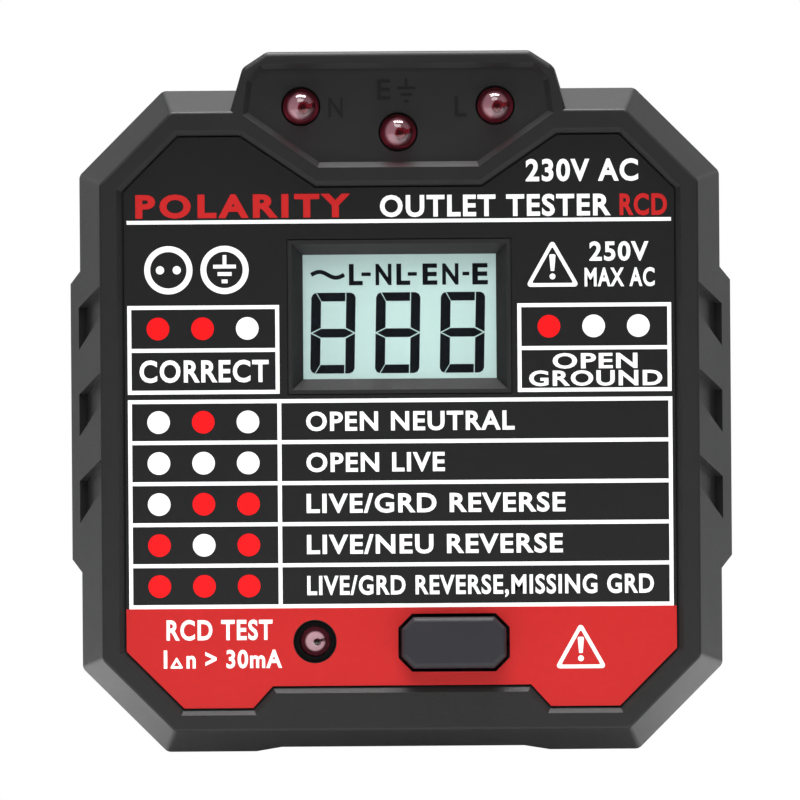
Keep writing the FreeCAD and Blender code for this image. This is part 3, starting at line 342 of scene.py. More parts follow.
case_plastic = moulded("case_plastic", (0.0145, 0.0145, 0.0147), 0.42, 4.5, 0.020)
inner_plastic = moulded("inner_plastic", (0.025, 0.025, 0.026), 0.50, 3.0, 0.010)
button_plastic = moulded("button_plastic", (0.021, 0.020, 0.024), 0.42, 6.0, 0.008)
plug_plastic = moulded("plug_plastic", (0.016, 0.016, 0.0165), 0.30, 5.0, 0.006)
chip_black = moulded("chip_black", (0.022, 0.022, 0.025), 0.45, 8.0, 0.006)
# black shroud plastic, made near black and barely mirroring as painted shade of the test lamp's bore
shroud_black_shade = moulded("shroud_black_shade", (0.003, 0.003, 0.003), 0.60, 5.0, 0.008)
shroud_black_shade.set("Specular IOR Level", 0.05)
print("moulded plastics ready")

# %% [markdown]
# ## Film, inks and crystal
#
# The label is black polyester film with white and red inks on it. Ink from a screen lies some
# hundredths of a millimetre thick and is never quite even, so each ink has a little mottle, and
# film and ink both have a slight orange peel. Coloured parts inside get the same kind of coat.

# %% Film and inks
def flat_coat(name, colour, roughness, peel_per_mm, peel_depth, change=0.04):
    """Film or ink: even colour with a little mottle, and a soft orange peel."""
    finish = Finish(name, colour, roughness)
    finish.mottle(1.5, change)
    peel = finish.noise(peel_per_mm, 1.0)
    finish.set("Specular IOR Level", DULL)
    finish.set("Roughness", peel * 0.1 + (roughness - 0.05))
    return finish.relief(peel, peel_depth)


label_film = flat_coat("label_film", (0.009, 0.009, 0.0095), 0.40, 2.2, 0.006, 0.12)
print_white = flat_coat("print_white", (0.86, 0.86, 0.86), 0.45, 3.0, 0.004)
print_red = flat_coat("print_red", (0.42, 0.013, 0.013), 0.42, 3.0, 0.004, 0.06)
print_red_bright = flat_coat("print_red_bright", (0.72, 0.004, 0.006), 0.42, 3.0, 0.004, 0.05)
display_ink = flat_coat("display_ink", (0.002, 0.003, 0.005), 0.60, 2.0, 0.002, 0.2)
display_ink.set("Specular IOR Level", 0.05)
fuse_ceramic = flat_coat("fuse_ceramic", (0.82, 0.80, 0.75), 0.35, 1.5, 0.010)
resistor_ceramic = flat_coat("resistor_ceramic", (0.40, 0.46, 0.40), 0.60, 4.0, 0.020, 0.1)
varistor_blue = flat_coat("varistor_blue", (0.02, 0.10, 0.38), 0.30, 0.8, 0.040, 0.1)
film_capacitor = flat_coat("film_capacitor", (0.62, 0.45, 0.04), 0.35, 1.0, 0.010)
wire_brown = flat_coat("wire_brown", (0.16, 0.06, 0.025), 0.45, 1.2, 0.010, 0.1)
wire_blue = flat_coat("wire_blue", (0.02, 0.10, 0.42), 0.45, 1.2, 0.010, 0.1)
light_guide = flat_coat("light_guide", (0.84, 0.88, 0.86), 0.40, 1.0, 0.010)
print("coats ready")

# %% [markdown]
# ## Display glass and window
#
# The cell is two sheets of glass with a grey-green polariser over a lit guide, which gives it a
# glow of its own. That glow is set strong enough to lift the cell out of its bezel's shade, so
# part of it is painted light. Its colour is painted brightest a little right of and below its
# centre and darker with the square of the distance from there to its frame: painted shade from
# the bezel. The window over it is clear plastic: it mirrors at grazing angles and lets the
# soft boxes light what lies behind.

# %% Display glass
CELL_MIDDLE = (0.20, 0.267, 0.252)
# painted shade: the cell's colour at its frame, darker where the bezel shades it
CELL_EDGE_SHADE = (0.155, 0.20, 0.195)
# glow of the lit guide, raised to outweigh the bezel's shade: partly painted light
CELL_GLOW = 2.0
BRIGHT_SIDE = 1.2
BRIGHT_DROP = 0.8
SIDE_FALL = 0.75
HEIGHT_FALL = 0.55

display_glass = Finish("display_glass", CELL_MIDDLE, 0.25)
cell_centre = (glass_low + glass_high) / 2
cell_half = (glass_high - glass_low) / 2
cell_place = display_glass.place()
side = display_glass.node("ShaderNodeSeparateXYZ", None, {"Vector": cell_place}, "X")
height = display_glass.node("ShaderNodeSeparateXYZ", None, {"Vector": cell_place}, "Z")
# painted shade: the colour darkens from a point right of and below the middle out to the frame, for
# the bezel's shade
off_side = (side - (cell_centre[0] + BRIGHT_SIDE)) * (1 / cell_half[0])
off_height = (height - (cell_centre[2] - BRIGHT_DROP)) * (1 / cell_half[2])
edge = off_side * off_side * SIDE_FALL + off_height * off_height * HEIGHT_FALL
edge = edge + display_glass.noise(0.5) * 0.08
cell_colour = display_glass.blend(edge, CELL_MIDDLE, CELL_EDGE_SHADE)
display_glass.set("Base Color", cell_colour).set("Emission Color", cell_colour)
display_glass.set("Emission Strength", CELL_GLOW)
display_glass.relief(display_glass.noise(1.5, 1.0), 0.002)
print("cell", np.round(cell_half * 2, 1))


# %% Clear plastics
def clear(name, tint, roughness, index):
    """Clear plastic that lets lamps shine straight through it onto what is behind."""
    finish = Finish(name, tint, roughness)
    finish.set("Transmission Weight", 1.0).set("IOR", index)
    finish.set("Roughness", finish.noise(0.8, 2.0) * 0.02 + roughness)
    return finish


def let_lamps_through(finish, tint):
    """Swap the shader for a tinted gap on rays from lamps."""
    gap = finish.node("ShaderNodeBsdfTransparent", None, {"Color": (*tint, 1.0)})
    ray = finish.node("ShaderNodeLightPath", output="Is Shadow Ray")
    both = finish.node("ShaderNodeMixShader", None,
                       {0: ray, 1: Signal(finish, finish.shader.outputs[0]), 2: gap})
    out = finish.tree.nodes["Material Output"]
    finish.tree.links.new(both.socket, out.inputs["Surface"])
    return finish


window_clear = let_lamps_through(clear("window_clear", (0.97, 0.99, 0.99), 0.01, 1.49),
                                 (0.93, 0.95, 0.95))
print("window ready")

# %% [markdown]
# ## Lamp lenses
#
# Each lamp is a drop of clear red epoxy. Light that crosses its middle passes through little
# dye and light that crosses its rim through a lot, so the middle looks pink over the metal cup
# and the rim dark red. The tint is worked out from the distance to the lamp's own axis. The test
# lamp's rim is tinted near black over a smaller radius: painted shade of the sunken bore round it.

# %% Lamp lenses
LENS_PALE = (0.96, 0.52, 0.60)
LENS_DEEP = (0.10, 0.002, 0.006)
LENS_BORE_SHADE = (0.010, 0.0005, 0.001)
# the test lamp's near-black rim and smaller pale middle are painted shade of its sunken bore
LAMPS = {"led_neutral": (1.14, LENS_DEEP), "led_earth": (1.14, LENS_DEEP),
         "led_live": (1.14, LENS_DEEP), "led_rcd": (0.88, LENS_BORE_SHADE)}


def lens(node, window, rim):
    """Red epoxy round one lamp's axis, pale within the window's radius and deep at the rim."""
    low, high = span(node)
    centre = (low + high) / 2
    finish = clear("lamp_red_" + node, LENS_PALE, 0.02, 1.53)
    flat = finish.place((1.0, 0.0, 1.0), centre)
    reach = finish.node("ShaderNodeVectorMath", {"operation": "LENGTH"}, {0: flat}, "Value")
    tint = finish.node("ShaderNodeValToRGB",
                       {"stops": [(0.0, LENS_PALE), (0.80, LENS_PALE), (1.0, rim)]},
                       {"Fac": reach * (0.85 / window)})
    finish.set("Base Color", tint)
    return let_lamps_through(finish, (0.90, 0.70, 0.74))


lenses = {node: lens(node, *look) for node, look in LAMPS.items()}
print("lenses", len(lenses))

# %% [markdown]
# ## Metals
#
# The pins are turned brass with nickel plate, so fine rings run round them. Clips and bridge
# are stamped brass strip, screws zinc-plated steel. A metal's colour is its mirror colour, and
# its wear is mostly in its roughness.

# %% Metals
def metal(name, colour, roughness, stretch, per_mm=3.0, depth=0.004):
    """Metal with fine lines drawn out along the stretched axes."""
    finish = Finish(name, colour, roughness, 1.0)
    finish.mottle(0.6, 0.06)
    lines = finish.noise(per_mm, 3.0, stretch)
    finish.set("Roughness", lines * 0.18 + (roughness - 0.09))
    return finish.relief(lines, depth)


pin_nickel = metal("pin_nickel", (0.74, 0.72, 0.68), 0.24, (0.2, 4.0, 0.2))
contact_brass = metal("contact_brass", (0.80, 0.58, 0.27), 0.28, (4.0, 0.3, 0.3))
screw_steel = metal("screw_steel", (0.56, 0.56, 0.55), 0.34, (1.0, 1.0, 1.0), 5.0)
spring_steel = metal("spring_steel", (0.60, 0.60, 0.62), 0.26, (1.0, 4.0, 1.0))
tinned_steel = metal("tinned_steel", (0.72, 0.72, 0.70), 0.30, (2.0, 0.4, 2.0))
can_aluminium = metal("can_aluminium", (0.77, 0.78, 0.80), 0.30, (3.0, 0.2, 3.0))
print("metals ready")

# %% [markdown]
# ## Board, rubber and striped wire
#
# The board is glass cloth in epoxy under green varnish, so a fine weave shows through. The
# contact strip is rubber with a carbon stripe every fraction of a millimetre, and the earth wire
# has its yellow stripe.

# %% Patterned parts
def striped(name, first, second, roughness, per_mm, stretch):
    """Two colours in even bands along the stretched axis."""
    finish = Finish(name, first, roughness)
    bands = finish.node("ShaderNodeTexWave", {"wave_type": "BANDS", "bands_direction": "X"},
                        {"Vector": finish.place(stretch), "Scale": per_mm, "Distortion": 0.0},
                        "Fac")
    finish.set("Base Color", finish.blend(bands > 0.5, first, second))
    return finish.relief(bands, 0.02)


contact_rubber = striped("contact_rubber", (0.38, 0.12, 0.11), (0.02, 0.02, 0.02), 0.6,
                         1.2, (1.0, 0.0, 0.0))
wire_green = striped("wire_green", (0.07, 0.36, 0.05), (0.72, 0.62, 0.03), 0.45,
                     0.2, (1.0, 0.0, 0.0))
board_green = striped("board_green", (0.018, 0.17, 0.06), (0.024, 0.21, 0.08), 0.28,
                      0.7, (1.0, 0.0, 1.0))
print("patterned parts ready")

# %% Dress the nodes
DRESS = {
    case_plastic: ["front_cover", "rear_cover"],
    label_film: ["label_overlay"],
    window_clear: ["lcd_window"],
    display_glass: ["lcd_glass"],
    light_guide: ["lcd_backlight"],
    contact_rubber: ["lcd_contact_strip"],
    inner_plastic: ["lcd_holder", "switch_body", "switch_plunger"],
    shroud_black_shade: ["led_shroud"],
    button_plastic: ["rcd_button"],
    tinned_steel: ["led_leads"],
    spring_steel: ["button_spring"],
    board_green: ["main_board"],
    chip_black: ["mcu_chip", "bridge_rectifier"],
    film_capacitor: ["dropper_capacitor"],
    can_aluminium: ["filter_capacitor"],
    varistor_blue: ["varistor"],
    fuse_ceramic: ["fuse"],
    resistor_ceramic: ["load_resistors"],
    wire_brown: ["live_wire"],
    wire_blue: ["neutral_wire"],
    wire_green: ["earth_wire"],
    plug_plastic: ["plug_base"],
    pin_nickel: ["live_pin", "neutral_pin"],
    contact_brass: ["earth_clip_top", "earth_clip_bottom", "earth_sleeve", "earth_bridge"],
    screw_steel: ["case_screws", "board_screws"],
}


def dress(node, finish):
    """Put a finish in every material slot of a node."""
    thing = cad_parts[node]
    if not thing.material_slots:
        thing.data.materials.append(finish.material)
    for place in thing.material_slots:
        place.material = finish.material


for finish, names in DRESS.items():
    for name in names:
        dress(name, finish)
for name, finish in lenses.items():
    dress(name, finish)
bare = set(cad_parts) - {name for names in DRESS.values() for name in names} - set(lenses)
print("nodes left undressed", sorted(bare))

# %% [markdown]
# ## Flat shapes
#
# A print is a flat outline with a little thickness. Each helper below returns points in the
# plane of the label, in millimetres, and the faces between them, anticlockwise as the reader
# sees them. Solidify then gives them the thickness of the ink.

# %% Flat shapes
INK = 0.02


def bar(left, right, low, high):
    """A rectangle as one face."""
    return np.array([(left, low), (right, low), (right, high), (left, high)]), [(0, 1, 2, 3)]


def patch(corners):
    """One face through corners given anticlockwise."""
    return np.array(corners, float), [tuple(range(len(corners)))]


def disc(x, z, radius, count=40):
    """A circle's points at even angles, x + r cos t and z + r sin t, as one face."""
    turn = np.linspace(0, 2 * np.pi, count, endpoint=False)
    points = np.column_stack([x + radius * np.cos(turn), z + radius * np.sin(turn)])
    return points, [tuple(range(count))]


def ring(outer, inner):
    """The band between two loops of as many points: face k joins points k and k + 1 of both."""
    count = len(outer)
    k = np.arange(count)
    following = (k + 1) % count
    faces = np.column_stack([k, following, count + following, count + k])
    return np.vstack([outer, inner]), faces.tolist()


def box_frame(left, right, low, high, line):
    """A rectangular frame, line wide, measured inwards."""
    outer = bar(left, right, low, high)[0]
    inner = bar(left + line, right - line, low + line, high - line)[0]
    return ring(outer, inner)


def ribbon(x, z, width):
    """A band along a line of points: each point is moved half the width along its normal."""
    run = np.gradient(np.column_stack([x, z]), axis=0)
    run /= np.linalg.norm(run, axis=1)[:, None]
    normal = np.column_stack([-run[:, 1], run[:, 0]]) * width / 2
    line = np.column_stack([x, z])
    k = np.arange(len(x) - 1)
    count = len(x)
    faces = np.column_stack([k, k + 1, count + k + 1, count + k])
    return np.vstack([line - normal, line + normal]), faces.tolist()


def joined(shapes):
    """Several flat shapes as one: points stacked, faces renumbered."""
    points, faces, start = [], [], 0
    for shape_points, shape_faces in shapes:
        points.append(shape_points)
        faces += [tuple(start + index for index in face) for face in shape_faces]
        start += len(shape_points)
    return np.vstack(points), faces


def printed(name, shapes, finish, forward, thickness=INK):
    """A thin closed piece on the housing, whose back lies at the distance forward."""
    points, faces = joined(shapes)
    front = np.full(len(points), -(forward + thickness))
    corners = np.column_stack([points[:, 0], front, points[:, 1]]) * MM
    mesh = bpy.data.meshes.new(name)
    mesh.from_pydata(corners.tolist(), [], faces)
    mesh.materials.append(finish.material)
    piece = bpy.data.objects.new(name, mesh)
    bpy.context.collection.objects.link(piece)
    wall = piece.modifiers.new("ink thickness", "SOLIDIFY")
    wall.thickness = thickness * MM
    wall.offset = -1.0
    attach(piece, "housing")
    return piece


print("flat shapes ready")

# %% [markdown]
# ## Red foot of the label
#
# Below the table the film is printed red, right up to its cut edge and round the holes for the
# lamp and the button. The quickest true outline is the label's own front face: a copy of it is
# merged, cut at the table's lower line, and lifted by the thickness of the ink.

# %% Red foot
TABLE_FOOT = -19.0


def label_front_below(height):
    """The label's front faces under a height, as points and faces."""
    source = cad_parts["label_overlay"].data
    sheet = bmesh.new()
    sheet.from_mesh(source)
    bmesh.ops.remove_doubles(sheet, verts=sheet.verts, dist=1e-6)
    bmesh.ops.bisect_plane(sheet, geom=sheet.verts[:] + sheet.edges[:] + sheet.faces[:],
                           plane_co=(0, 0, height * MM), plane_no=(0, 0, 1), clear_outer=True)
    sheet.normal_update()
    behind = [face for face in sheet.faces if face.normal.y > -0.9]
    bmesh.ops.delete(sheet, geom=behind, context="FACES")
    sheet.verts.index_update()
    points = np.array([(v.co.x, v.co.z) for v in sheet.verts]) / MM
    faces = [tuple(v.index for v in face.verts) for face in sheet.faces]
    sheet.free()
    return points, faces


red_foot = printed("label_red_foot", [label_front_below(TABLE_FOOT)], print_red, LABEL_FRONT)
RED_FRONT = LABEL_FRONT + INK
print("red foot faces", len(red_foot.data.polygons))

# %% [markdown]
# ## Rules, frames and dots
#
# The table pairs each pattern of lit lamps with its meaning. Its lines are under half a
# millimetre wide. A red dot is a lit lamp and a white dot a dark one.

# %% Table
LINE = 0.4
TABLE_SIDE = 27.6
TABLE_TOP = 2.2
ROWS = 5
ROW = (TABLE_TOP - TABLE_FOOT - LINE) / ROWS
DIVIDER = -12.25
BOX_TOP = 11.75
BOX_FOOT = 2.75
BOX_SHELF = 7.2
LEFT_BOX = (-27.6, -12.2)
RIGHT_BOX = (11.95, 27.55)
HEADER = (20.0, 20.38)

row_middles = [TABLE_TOP - LINE / 2 - ROW * (k + 0.5) for k in range(ROWS)]
lines = [bar(-TABLE_SIDE, TABLE_SIDE, *HEADER)]
for left, right in (LEFT_BOX, RIGHT_BOX):
    lines.append(box_frame(left, right, BOX_FOOT, BOX_TOP, LINE))
    lines.append(bar(left + LINE, right - LINE, BOX_SHELF - LINE / 2, BOX_SHELF + LINE / 2))
lines.append(box_frame(-TABLE_SIDE, TABLE_SIDE, TABLE_FOOT, TABLE_TOP, LINE))
printed("label_rules", lines, print_white, LABEL_FRONT)

cross = []
for k in range(1, ROWS):
    level = TABLE_TOP - LINE / 2 - ROW * k
    for left, right in ((-TABLE_SIDE + LINE, DIVIDER - LINE / 2),
                        (DIVIDER + LINE / 2, TABLE_SIDE - LINE)):
        cross.append(bar(left, right, level - LINE / 2, level + LINE / 2))
cross.append(bar(DIVIDER - LINE / 2, DIVIDER + LINE / 2, TABLE_FOOT + LINE, TABLE_TOP - LINE))
printed("label_table_lines", cross, print_white, LABEL_FRONT)
print("row pitch", round(ROW, 2), "mm")

# %% Dots
DOT = 1.15
DOT_STEP = 4.53
DOT_LEVEL = 9.4
LEFT_DOTS = -24.5
RIGHT_DOTS = 15.15
PATTERNS = ["WRW", "WWW", "WRR", "RWR", "RRR"]

dots = {"R": [], "W": []}


def add_dots(pattern, start, level):
    """Three dots in a row, one for each lamp."""
    for k, kind in enumerate(pattern):
        dots[kind].append(disc(start + k * DOT_STEP, level, DOT))


add_dots("RRW", LEFT_DOTS, DOT_LEVEL)
add_dots("RWW", RIGHT_DOTS, DOT_LEVEL)
for pattern, level in zip(PATTERNS, row_middles):
    add_dots(pattern, LEFT_DOTS, level)
printed("label_red_dots", dots["R"], print_red_bright, LABEL_FRONT)
printed("label_white_dots", dots["W"], print_white, LABEL_FRONT)
print("dots", {kind: len(shapes) for kind, shapes in dots.items()})

# %% [markdown]
# ## Words
#
# Blender has one plain typeface of its own. Label printing is bolder and often stretched, so
# the letters are thickened by the curve's offset, turned into flat faces, and then fitted
# between a left and a right end with their own height of capitals.

# %% Lettering
def letters(text, weight, gap=1.0):
    """Letters as flat points and faces, with the baseline at zero."""
    curve = bpy.data.curves.new("letters", "FONT")
    curve.body = text
    curve.offset = weight
    curve.space_character = gap
    curve.resolution_u = 4
    curve.fill_mode = "FRONT"
    holder = bpy.data.objects.new("letters", curve)
    mesh = bpy.data.meshes.new_from_object(holder)
    sheet = bmesh.new()
    sheet.from_mesh(mesh)
    bmesh.ops.remove_doubles(sheet, verts=sheet.verts, dist=1e-5)
    sheet.verts.index_update()
    points = np.array([(v.co.x, v.co.y) for v in sheet.verts])
    faces = [tuple(v.index for v in face.verts) for face in sheet.faces]
    sheet.free()
    bpy.data.objects.remove(holder)
    bpy.data.curves.remove(curve)
    bpy.data.meshes.remove(mesh)
    return points, faces


def words(text, left, right, base, capital, weight=0.028, gap=1.12):
    """Letters fitted from left to right, with capitals of the given height on base."""
    points, faces = letters(text, weight, gap)
    plain = letters("H", weight)[0]
    low, high = plain[:, 1].min(), plain[:, 1].max()
    start, end = points[:, 0].min(), points[:, 0].max()
    x = left + (points[:, 0] - start) * (right - left) / (end - start)
    z = base + (points[:, 1] - low) * capital / (high - low)
    return np.column_stack([x, z]), faces


TITLE_BASE = 20.6
TITLE_CAPITAL = 2.2
SUPPLY_BASE = 24.1

# piece: text, left end, right end, baseline, capitals, weight, gap
RED_TITLES = {
    "words_polarity": ("POLARITY", -26.7, -4.9, TITLE_BASE, 2.4, 0.042, 1.28),
    "words_rcd": ("RCD", 22.4, 27.2, TITLE_BASE, TITLE_CAPITAL, 0.034),
}
WHITE_TITLES = {
    "words_outlet_tester": ("OUTLET TESTER", -1.9, 21.5, TITLE_BASE, TITLE_CAPITAL, 0.030),
    "words_supply": ("230V AC", 12.9, 24.3, SUPPLY_BASE, 2.25, 0.030),
}
for name, setting in RED_TITLES.items():
    printed(name, [words(*setting)], print_red, LABEL_FRONT)
for name, setting in WHITE_TITLES.items():
    printed(name, [words(*setting)], print_white, LABEL_FRONT)
print("titles", len(RED_TITLES) + len(WHITE_TITLES))

# %% Meanings
ROW_CAPITAL = 1.95
ROW_START = -9.55
MEANINGS = [("OPEN NEUTRAL", 11.6), ("OPEN LIVE", 4.5), ("LIVE/GRD REVERSE", 16.7),
            ("LIVE/NEU REVERSE", 16.4), ("LIVE/GRD REVERSE,MISSING GRD", 25.6)]

for (text, end), level in zip(MEANINGS, row_middles):
    name = "words_" + text.lower().replace("/", "_").replace(" ", "_").replace(",", "_")
    printed(name, [words(text, ROW_START, end, level - ROW_CAPITAL / 2, ROW_CAPITAL)],
            print_white, LABEL_FRONT)

# piece: the lines of one block, each with text, left end, right end, baseline and capitals
BLOCKS = {
    "words_correct": [("CORRECT", -26.4, -13.3, 3.95, 2.25)],
    "words_open_ground": [("OPEN", 15.5, 24.1, 5.1, 1.55), ("GROUND", 13.1, 26.6, 3.35, 1.55)],
    "words_limit": [("250V", 19.3, 25.3, 16.0, 1.95), ("MAX AC", 18.8, 25.9, 13.4, 1.9)],
}
for name, block in BLOCKS.items():
    printed(name, [words(*line) for line in block], print_white, LABEL_FRONT)
printed("words_rcd_test", [words("RCD TEST", -23.85, -13.1, -22.2, 2.05)], print_white, RED_FRONT)
print("meanings", len(MEANINGS), "blocks", len(BLOCKS) + 1)

# %% [markdown]
# ## Signs
#
# The signs are plain ones from any workshop: a triangle with an exclamation mark, an outlet's
# face with its two holes, and the earth sign. Corners of the triangle are rounded by an
# arc that touches both of its sides.

# %% Triangles
def rounded(corners, radius, steps=6):
    """A loop with round corners: at each corner, an arc about the point that is one radius
    from both sides, from the touch point on one side to the touch point on the other."""
    corners = np.array(corners, float)
    loop = []
    for here, before, after in zip(corners, np.roll(corners, 1, 0), np.roll(corners, -1, 0)):
        back_way = (before - here) / np.linalg.norm(before - here)
        on_way = (after - here) / np.linalg.norm(after - here)
        half_angle = math.acos(np.clip(back_way @ on_way, -1, 1)) / 2
        middle = (back_way + on_way) / np.linalg.norm(back_way + on_way)
        centre = here + middle * radius / math.sin(half_angle)
        first = here + back_way * radius / math.tan(half_angle) - centre
        last = here + on_way * radius / math.tan(half_angle) - centre
        start = math.atan2(first[1], first[0])
        sweep = (math.atan2(last[1], last[0]) - start + math.pi) % (2 * math.pi) - math.pi
        turn = start + sweep * np.linspace(0, 1, steps)
        loop.append(centre + radius * np.column_stack([np.cos(turn), np.sin(turn)]))
    return np.vstack(loop)


def triangle(middle, foot, width, tall, line, corner):
    """A triangular frame: the inner loop is the outer one moved in by the line."""
    outer = [(middle - width / 2, foot), (middle + width / 2, foot), (middle, foot + tall)]
    slope = math.hypot(tall, width / 2)
    rise = line * (1 + 2 * slope / width)
    inner_tall = tall - rise
    inner_width = width * inner_tall / tall
    inner = [(middle - inner_width / 2, foot + line), (middle + inner_width / 2, foot + line),
             (middle, foot + line + inner_tall)]
    return ring(rounded(outer, corner), rounded(inner, corner * 0.35))


WARNING_LINE = 0.38
WARNING_CORNER = 0.3
STEM_LOW, STEM_CUT, STEM_WIDE = 0.18, 0.2, 0.32
STEM_BEVEL = 0.12
STEM_DOT = 0.3


def warning(middle, foot, width, tall):
    """The general warning sign: a triangle round a tapered stem and its dot."""
    stem_foot = foot + tall * 0.33
    stem_top = foot + tall * 0.68
    half_stem = [(STEM_LOW, stem_foot), (STEM_WIDE, stem_top - STEM_BEVEL), (STEM_CUT, stem_top)]
    stem = [(middle + x, z) for x, z in half_stem]
    stem += [(middle - x, z) for x, z in reversed(half_stem)]
    return [triangle(middle, foot, width, tall, WARNING_LINE, WARNING_CORNER), patch(stem),
            disc(middle, foot + tall * 0.215, STEM_DOT, 16)]


printed("sign_warning_head", warning(15.55, 13.4, 5.5, 4.85), print_white, LABEL_FRONT)
printed("sign_warning_foot", warning(18.15, -25.3, 5.3, 4.7), print_white, RED_FRONT)
print("warning signs ready")


# %% Outlet and earth signs
def circle_line(x, z, radius, line):
    """A circle drawn with a line of the given width."""
    return ring(disc(x, z, radius)[0], disc(x, z, radius - line)[0])


def earth_sign(x, top, wide, line, step):
    """A stem over three bars, each shorter than the one above it and a step lower."""
    stem = step * 1.3
    bars = [bar(x - line / 2, x + line / 2, top - stem, top)]
    for k, share in enumerate((1.0, 0.62, 0.26)):
        level = top - stem - step * k
        bars.append(bar(x - wide * share / 2, x + wide * share / 2, level - line, level))
    return bars


SIGN = 2.45
SIGN_LINE = 0.6
SIGN_LEVEL = 15.35
OUTLET_X = -23.4
HOLE_APART = 0.85
HOLE = 0.42
EARTH_X = -17.7

outlet_face = [circle_line(OUTLET_X, SIGN_LEVEL, SIGN, SIGN_LINE)]
for way in (-1, 1):
    outlet_face.append(disc(OUTLET_X + way * HOLE_APART, SIGN_LEVEL, HOLE, 20))
printed("sign_outlet", outlet_face, print_white, LABEL_FRONT)
earth_face = [circle_line(EARTH_X, SIGN_LEVEL, SIGN, SIGN_LINE)]
earth_face += earth_sign(EARTH_X, SIGN_LEVEL + 1.5, 2.3, 0.38, 0.75)
printed("sign_earth", earth_face, print_white, LABEL_FRONT)

# the trip current: a capital I, a small triangle for the difference, and the limit
TRIP_BASE = -25.05
TRIP_CAPITAL = 1.85
trip_current = [words("I", -24.15, -23.8, TRIP_BASE, TRIP_CAPITAL),
                triangle(-22.85, TRIP_BASE, 1.4, 1.2, 0.24, 0.1),
                words("n > 30mA", -21.85, -12.15, TRIP_BASE, TRIP_CAPITAL)]
printed("words_trip_current", trip_current, print_white, RED_FRONT)
print("signs ready")

# %% [markdown]
# ## Display segments
#
# A digit is seven crystal cells with hair gaps between them, a left pair that meets the
# top and bottom at a slant and a right pair that runs the digit's whole height, all leaning a
# little. The symbols over the digits say which two wires are being measured.

# %% Segments
DIGIT_WIDTH = 4.5
DIGIT_HEIGHT = 8.2
STROKE = 0.88
UPRIGHT = 1.0
MIDDLE_STROKE = 0.98
GAP = 0.045
LEAN = 0.022
CORNER = 0.5
CORNER_MIDDLE = 0.16
TIP = 0.12
DIGIT_FOOT = 4.75
DIGIT_STARTS = (-9.12, -2.55, 4.02)


def digit(start, foot):
    """The seven cells of one digit as patches, each corner leaned by its height."""
    wide, tall, middle = DIGIT_WIDTH, DIGIT_HEIGHT, DIGIT_HEIGHT / 2
    left_in, right_in = UPRIGHT, wide - UPRIGHT
    bridge_low, bridge_high = middle - MIDDLE_STROKE / 2, middle + MIDDLE_STROKE / 2
    top = [(left_in + GAP, tall - STROKE), (right_in - GAP, tall - STROKE),
           (right_in - GAP, tall), (CORNER + GAP, tall)]
    upper_left = [(0, middle + GAP), (left_in, bridge_high + GAP),
                  (left_in, tall - STROKE - GAP), (CORNER - GAP, tall),
                  (CORNER_MIDDLE, tall - CORNER_MIDDLE), (0, tall - CORNER)]
    upper_right = [(wide, middle + GAP), (wide, tall - CORNER),
                   (wide - CORNER_MIDDLE, tall - CORNER_MIDDLE), (wide - CORNER, tall),
                   (right_in + GAP, tall), (right_in + GAP, bridge_high + GAP)]
    bridge = [(GAP + TIP, middle), (left_in + GAP, bridge_low + GAP),
              (right_in - GAP, bridge_low + GAP), (wide - GAP - TIP, middle),
              (right_in - GAP, bridge_high - GAP), (left_in + GAP, bridge_high - GAP)]
    upper = [top, upper_left, upper_right]
    lower = [[(x, tall - z) for x, z in reversed(cell)] for cell in upper]
    cells = []
    for cell in upper + [bridge] + lower:
        points, faces = patch(cell)
        points[:, 0] += start + LEAN * points[:, 1]
        points[:, 1] += foot
        cells.append((points, faces))
    return cells


segments = [cell for start in DIGIT_STARTS for cell in digit(start, DIGIT_FOOT)]
printed("lcd_digits", segments, display_ink, GLASS_FRONT)
print("cells", len(segments))

# %% Symbols
SYMBOL_BASE = 13.68
SYMBOL_CAPITAL = 2.17
SYMBOL_WEIGHT = 0.034
SYMBOL_LETTERS = [("L", -5.12, -3.72), ("N", -2.42, -0.8), ("L", -0.3, 1.1),
                  ("E", 2.35, 3.85), ("N", 4.35, 6.0), ("E", 7.4, 8.98)]
DASHES = [(-3.85, -2.9), (0.85, 1.78), (6.4, 7.1)]
DASH_LEVEL = 14.8
DASH = 0.37
WAVE_START = -8.95
WAVE_LENGTH = 3.35
WAVE_LEVEL = 14.77
WAVE_HEIGHT = 0.30
WAVE_LINE = 0.42

symbols = []
for letter, left, right in SYMBOL_LETTERS:
    symbols.append(words(letter, left, right, SYMBOL_BASE, SYMBOL_CAPITAL, SYMBOL_WEIGHT))
for left, right in DASHES:
    symbols.append(bar(left, right, DASH_LEVEL - DASH / 2, DASH_LEVEL + DASH / 2))
# one full wave of alternating current: z = level + height sin 2 pi s along its length
wave = np.linspace(0, 1, 25)
symbols.append(ribbon(WAVE_START + WAVE_LENGTH * wave,
                      WAVE_LEVEL + WAVE_HEIGHT * np.sin(2 * np.pi * wave), WAVE_LINE))
printed("lcd_symbols", symbols, display_ink, GLASS_FRONT)
print("symbols", len(symbols))

# %% [markdown]
# ## Letters by the lamps
#
# Beside each lamp its wire is named in small raised letters of the shell's own plastic. They are
# coloured near black, darker than the face round them: painted shade, for moulded letters look
# dark against the grained face. The earth sign stands beside the E.

# %% Lamp letters
# painted shade: the letters' near-black colour stands in for the shade that makes moulded letters
# look dark
case_letter_shade = moulded("case_letter_shade", (0.003, 0.003, 0.003), 0.6, 4.5, 0.01)
LETTER_RISE = 0.06
LETTER_WEIGHT = 0.012
SIDE_BASE = 30.75
EARTH_BASE = 32.5
tab_letters = [words("N", -7.05, -5.6, SIDE_BASE, 2.0, LETTER_WEIGHT),
               words("L", 5.75, 6.95, SIDE_BASE, 2.0, LETTER_WEIGHT),
               words("E", -2.1, -0.75, EARTH_BASE, 2.05, LETTER_WEIGHT)]
tab_letters += earth_sign(0.85, EARTH_BASE + 2.15, 1.85, 0.26, 0.66)
printed("tab_letters", tab_letters, case_letter_shade, TAB_BED, LETTER_RISE)
print("letters", len(tab_letters))
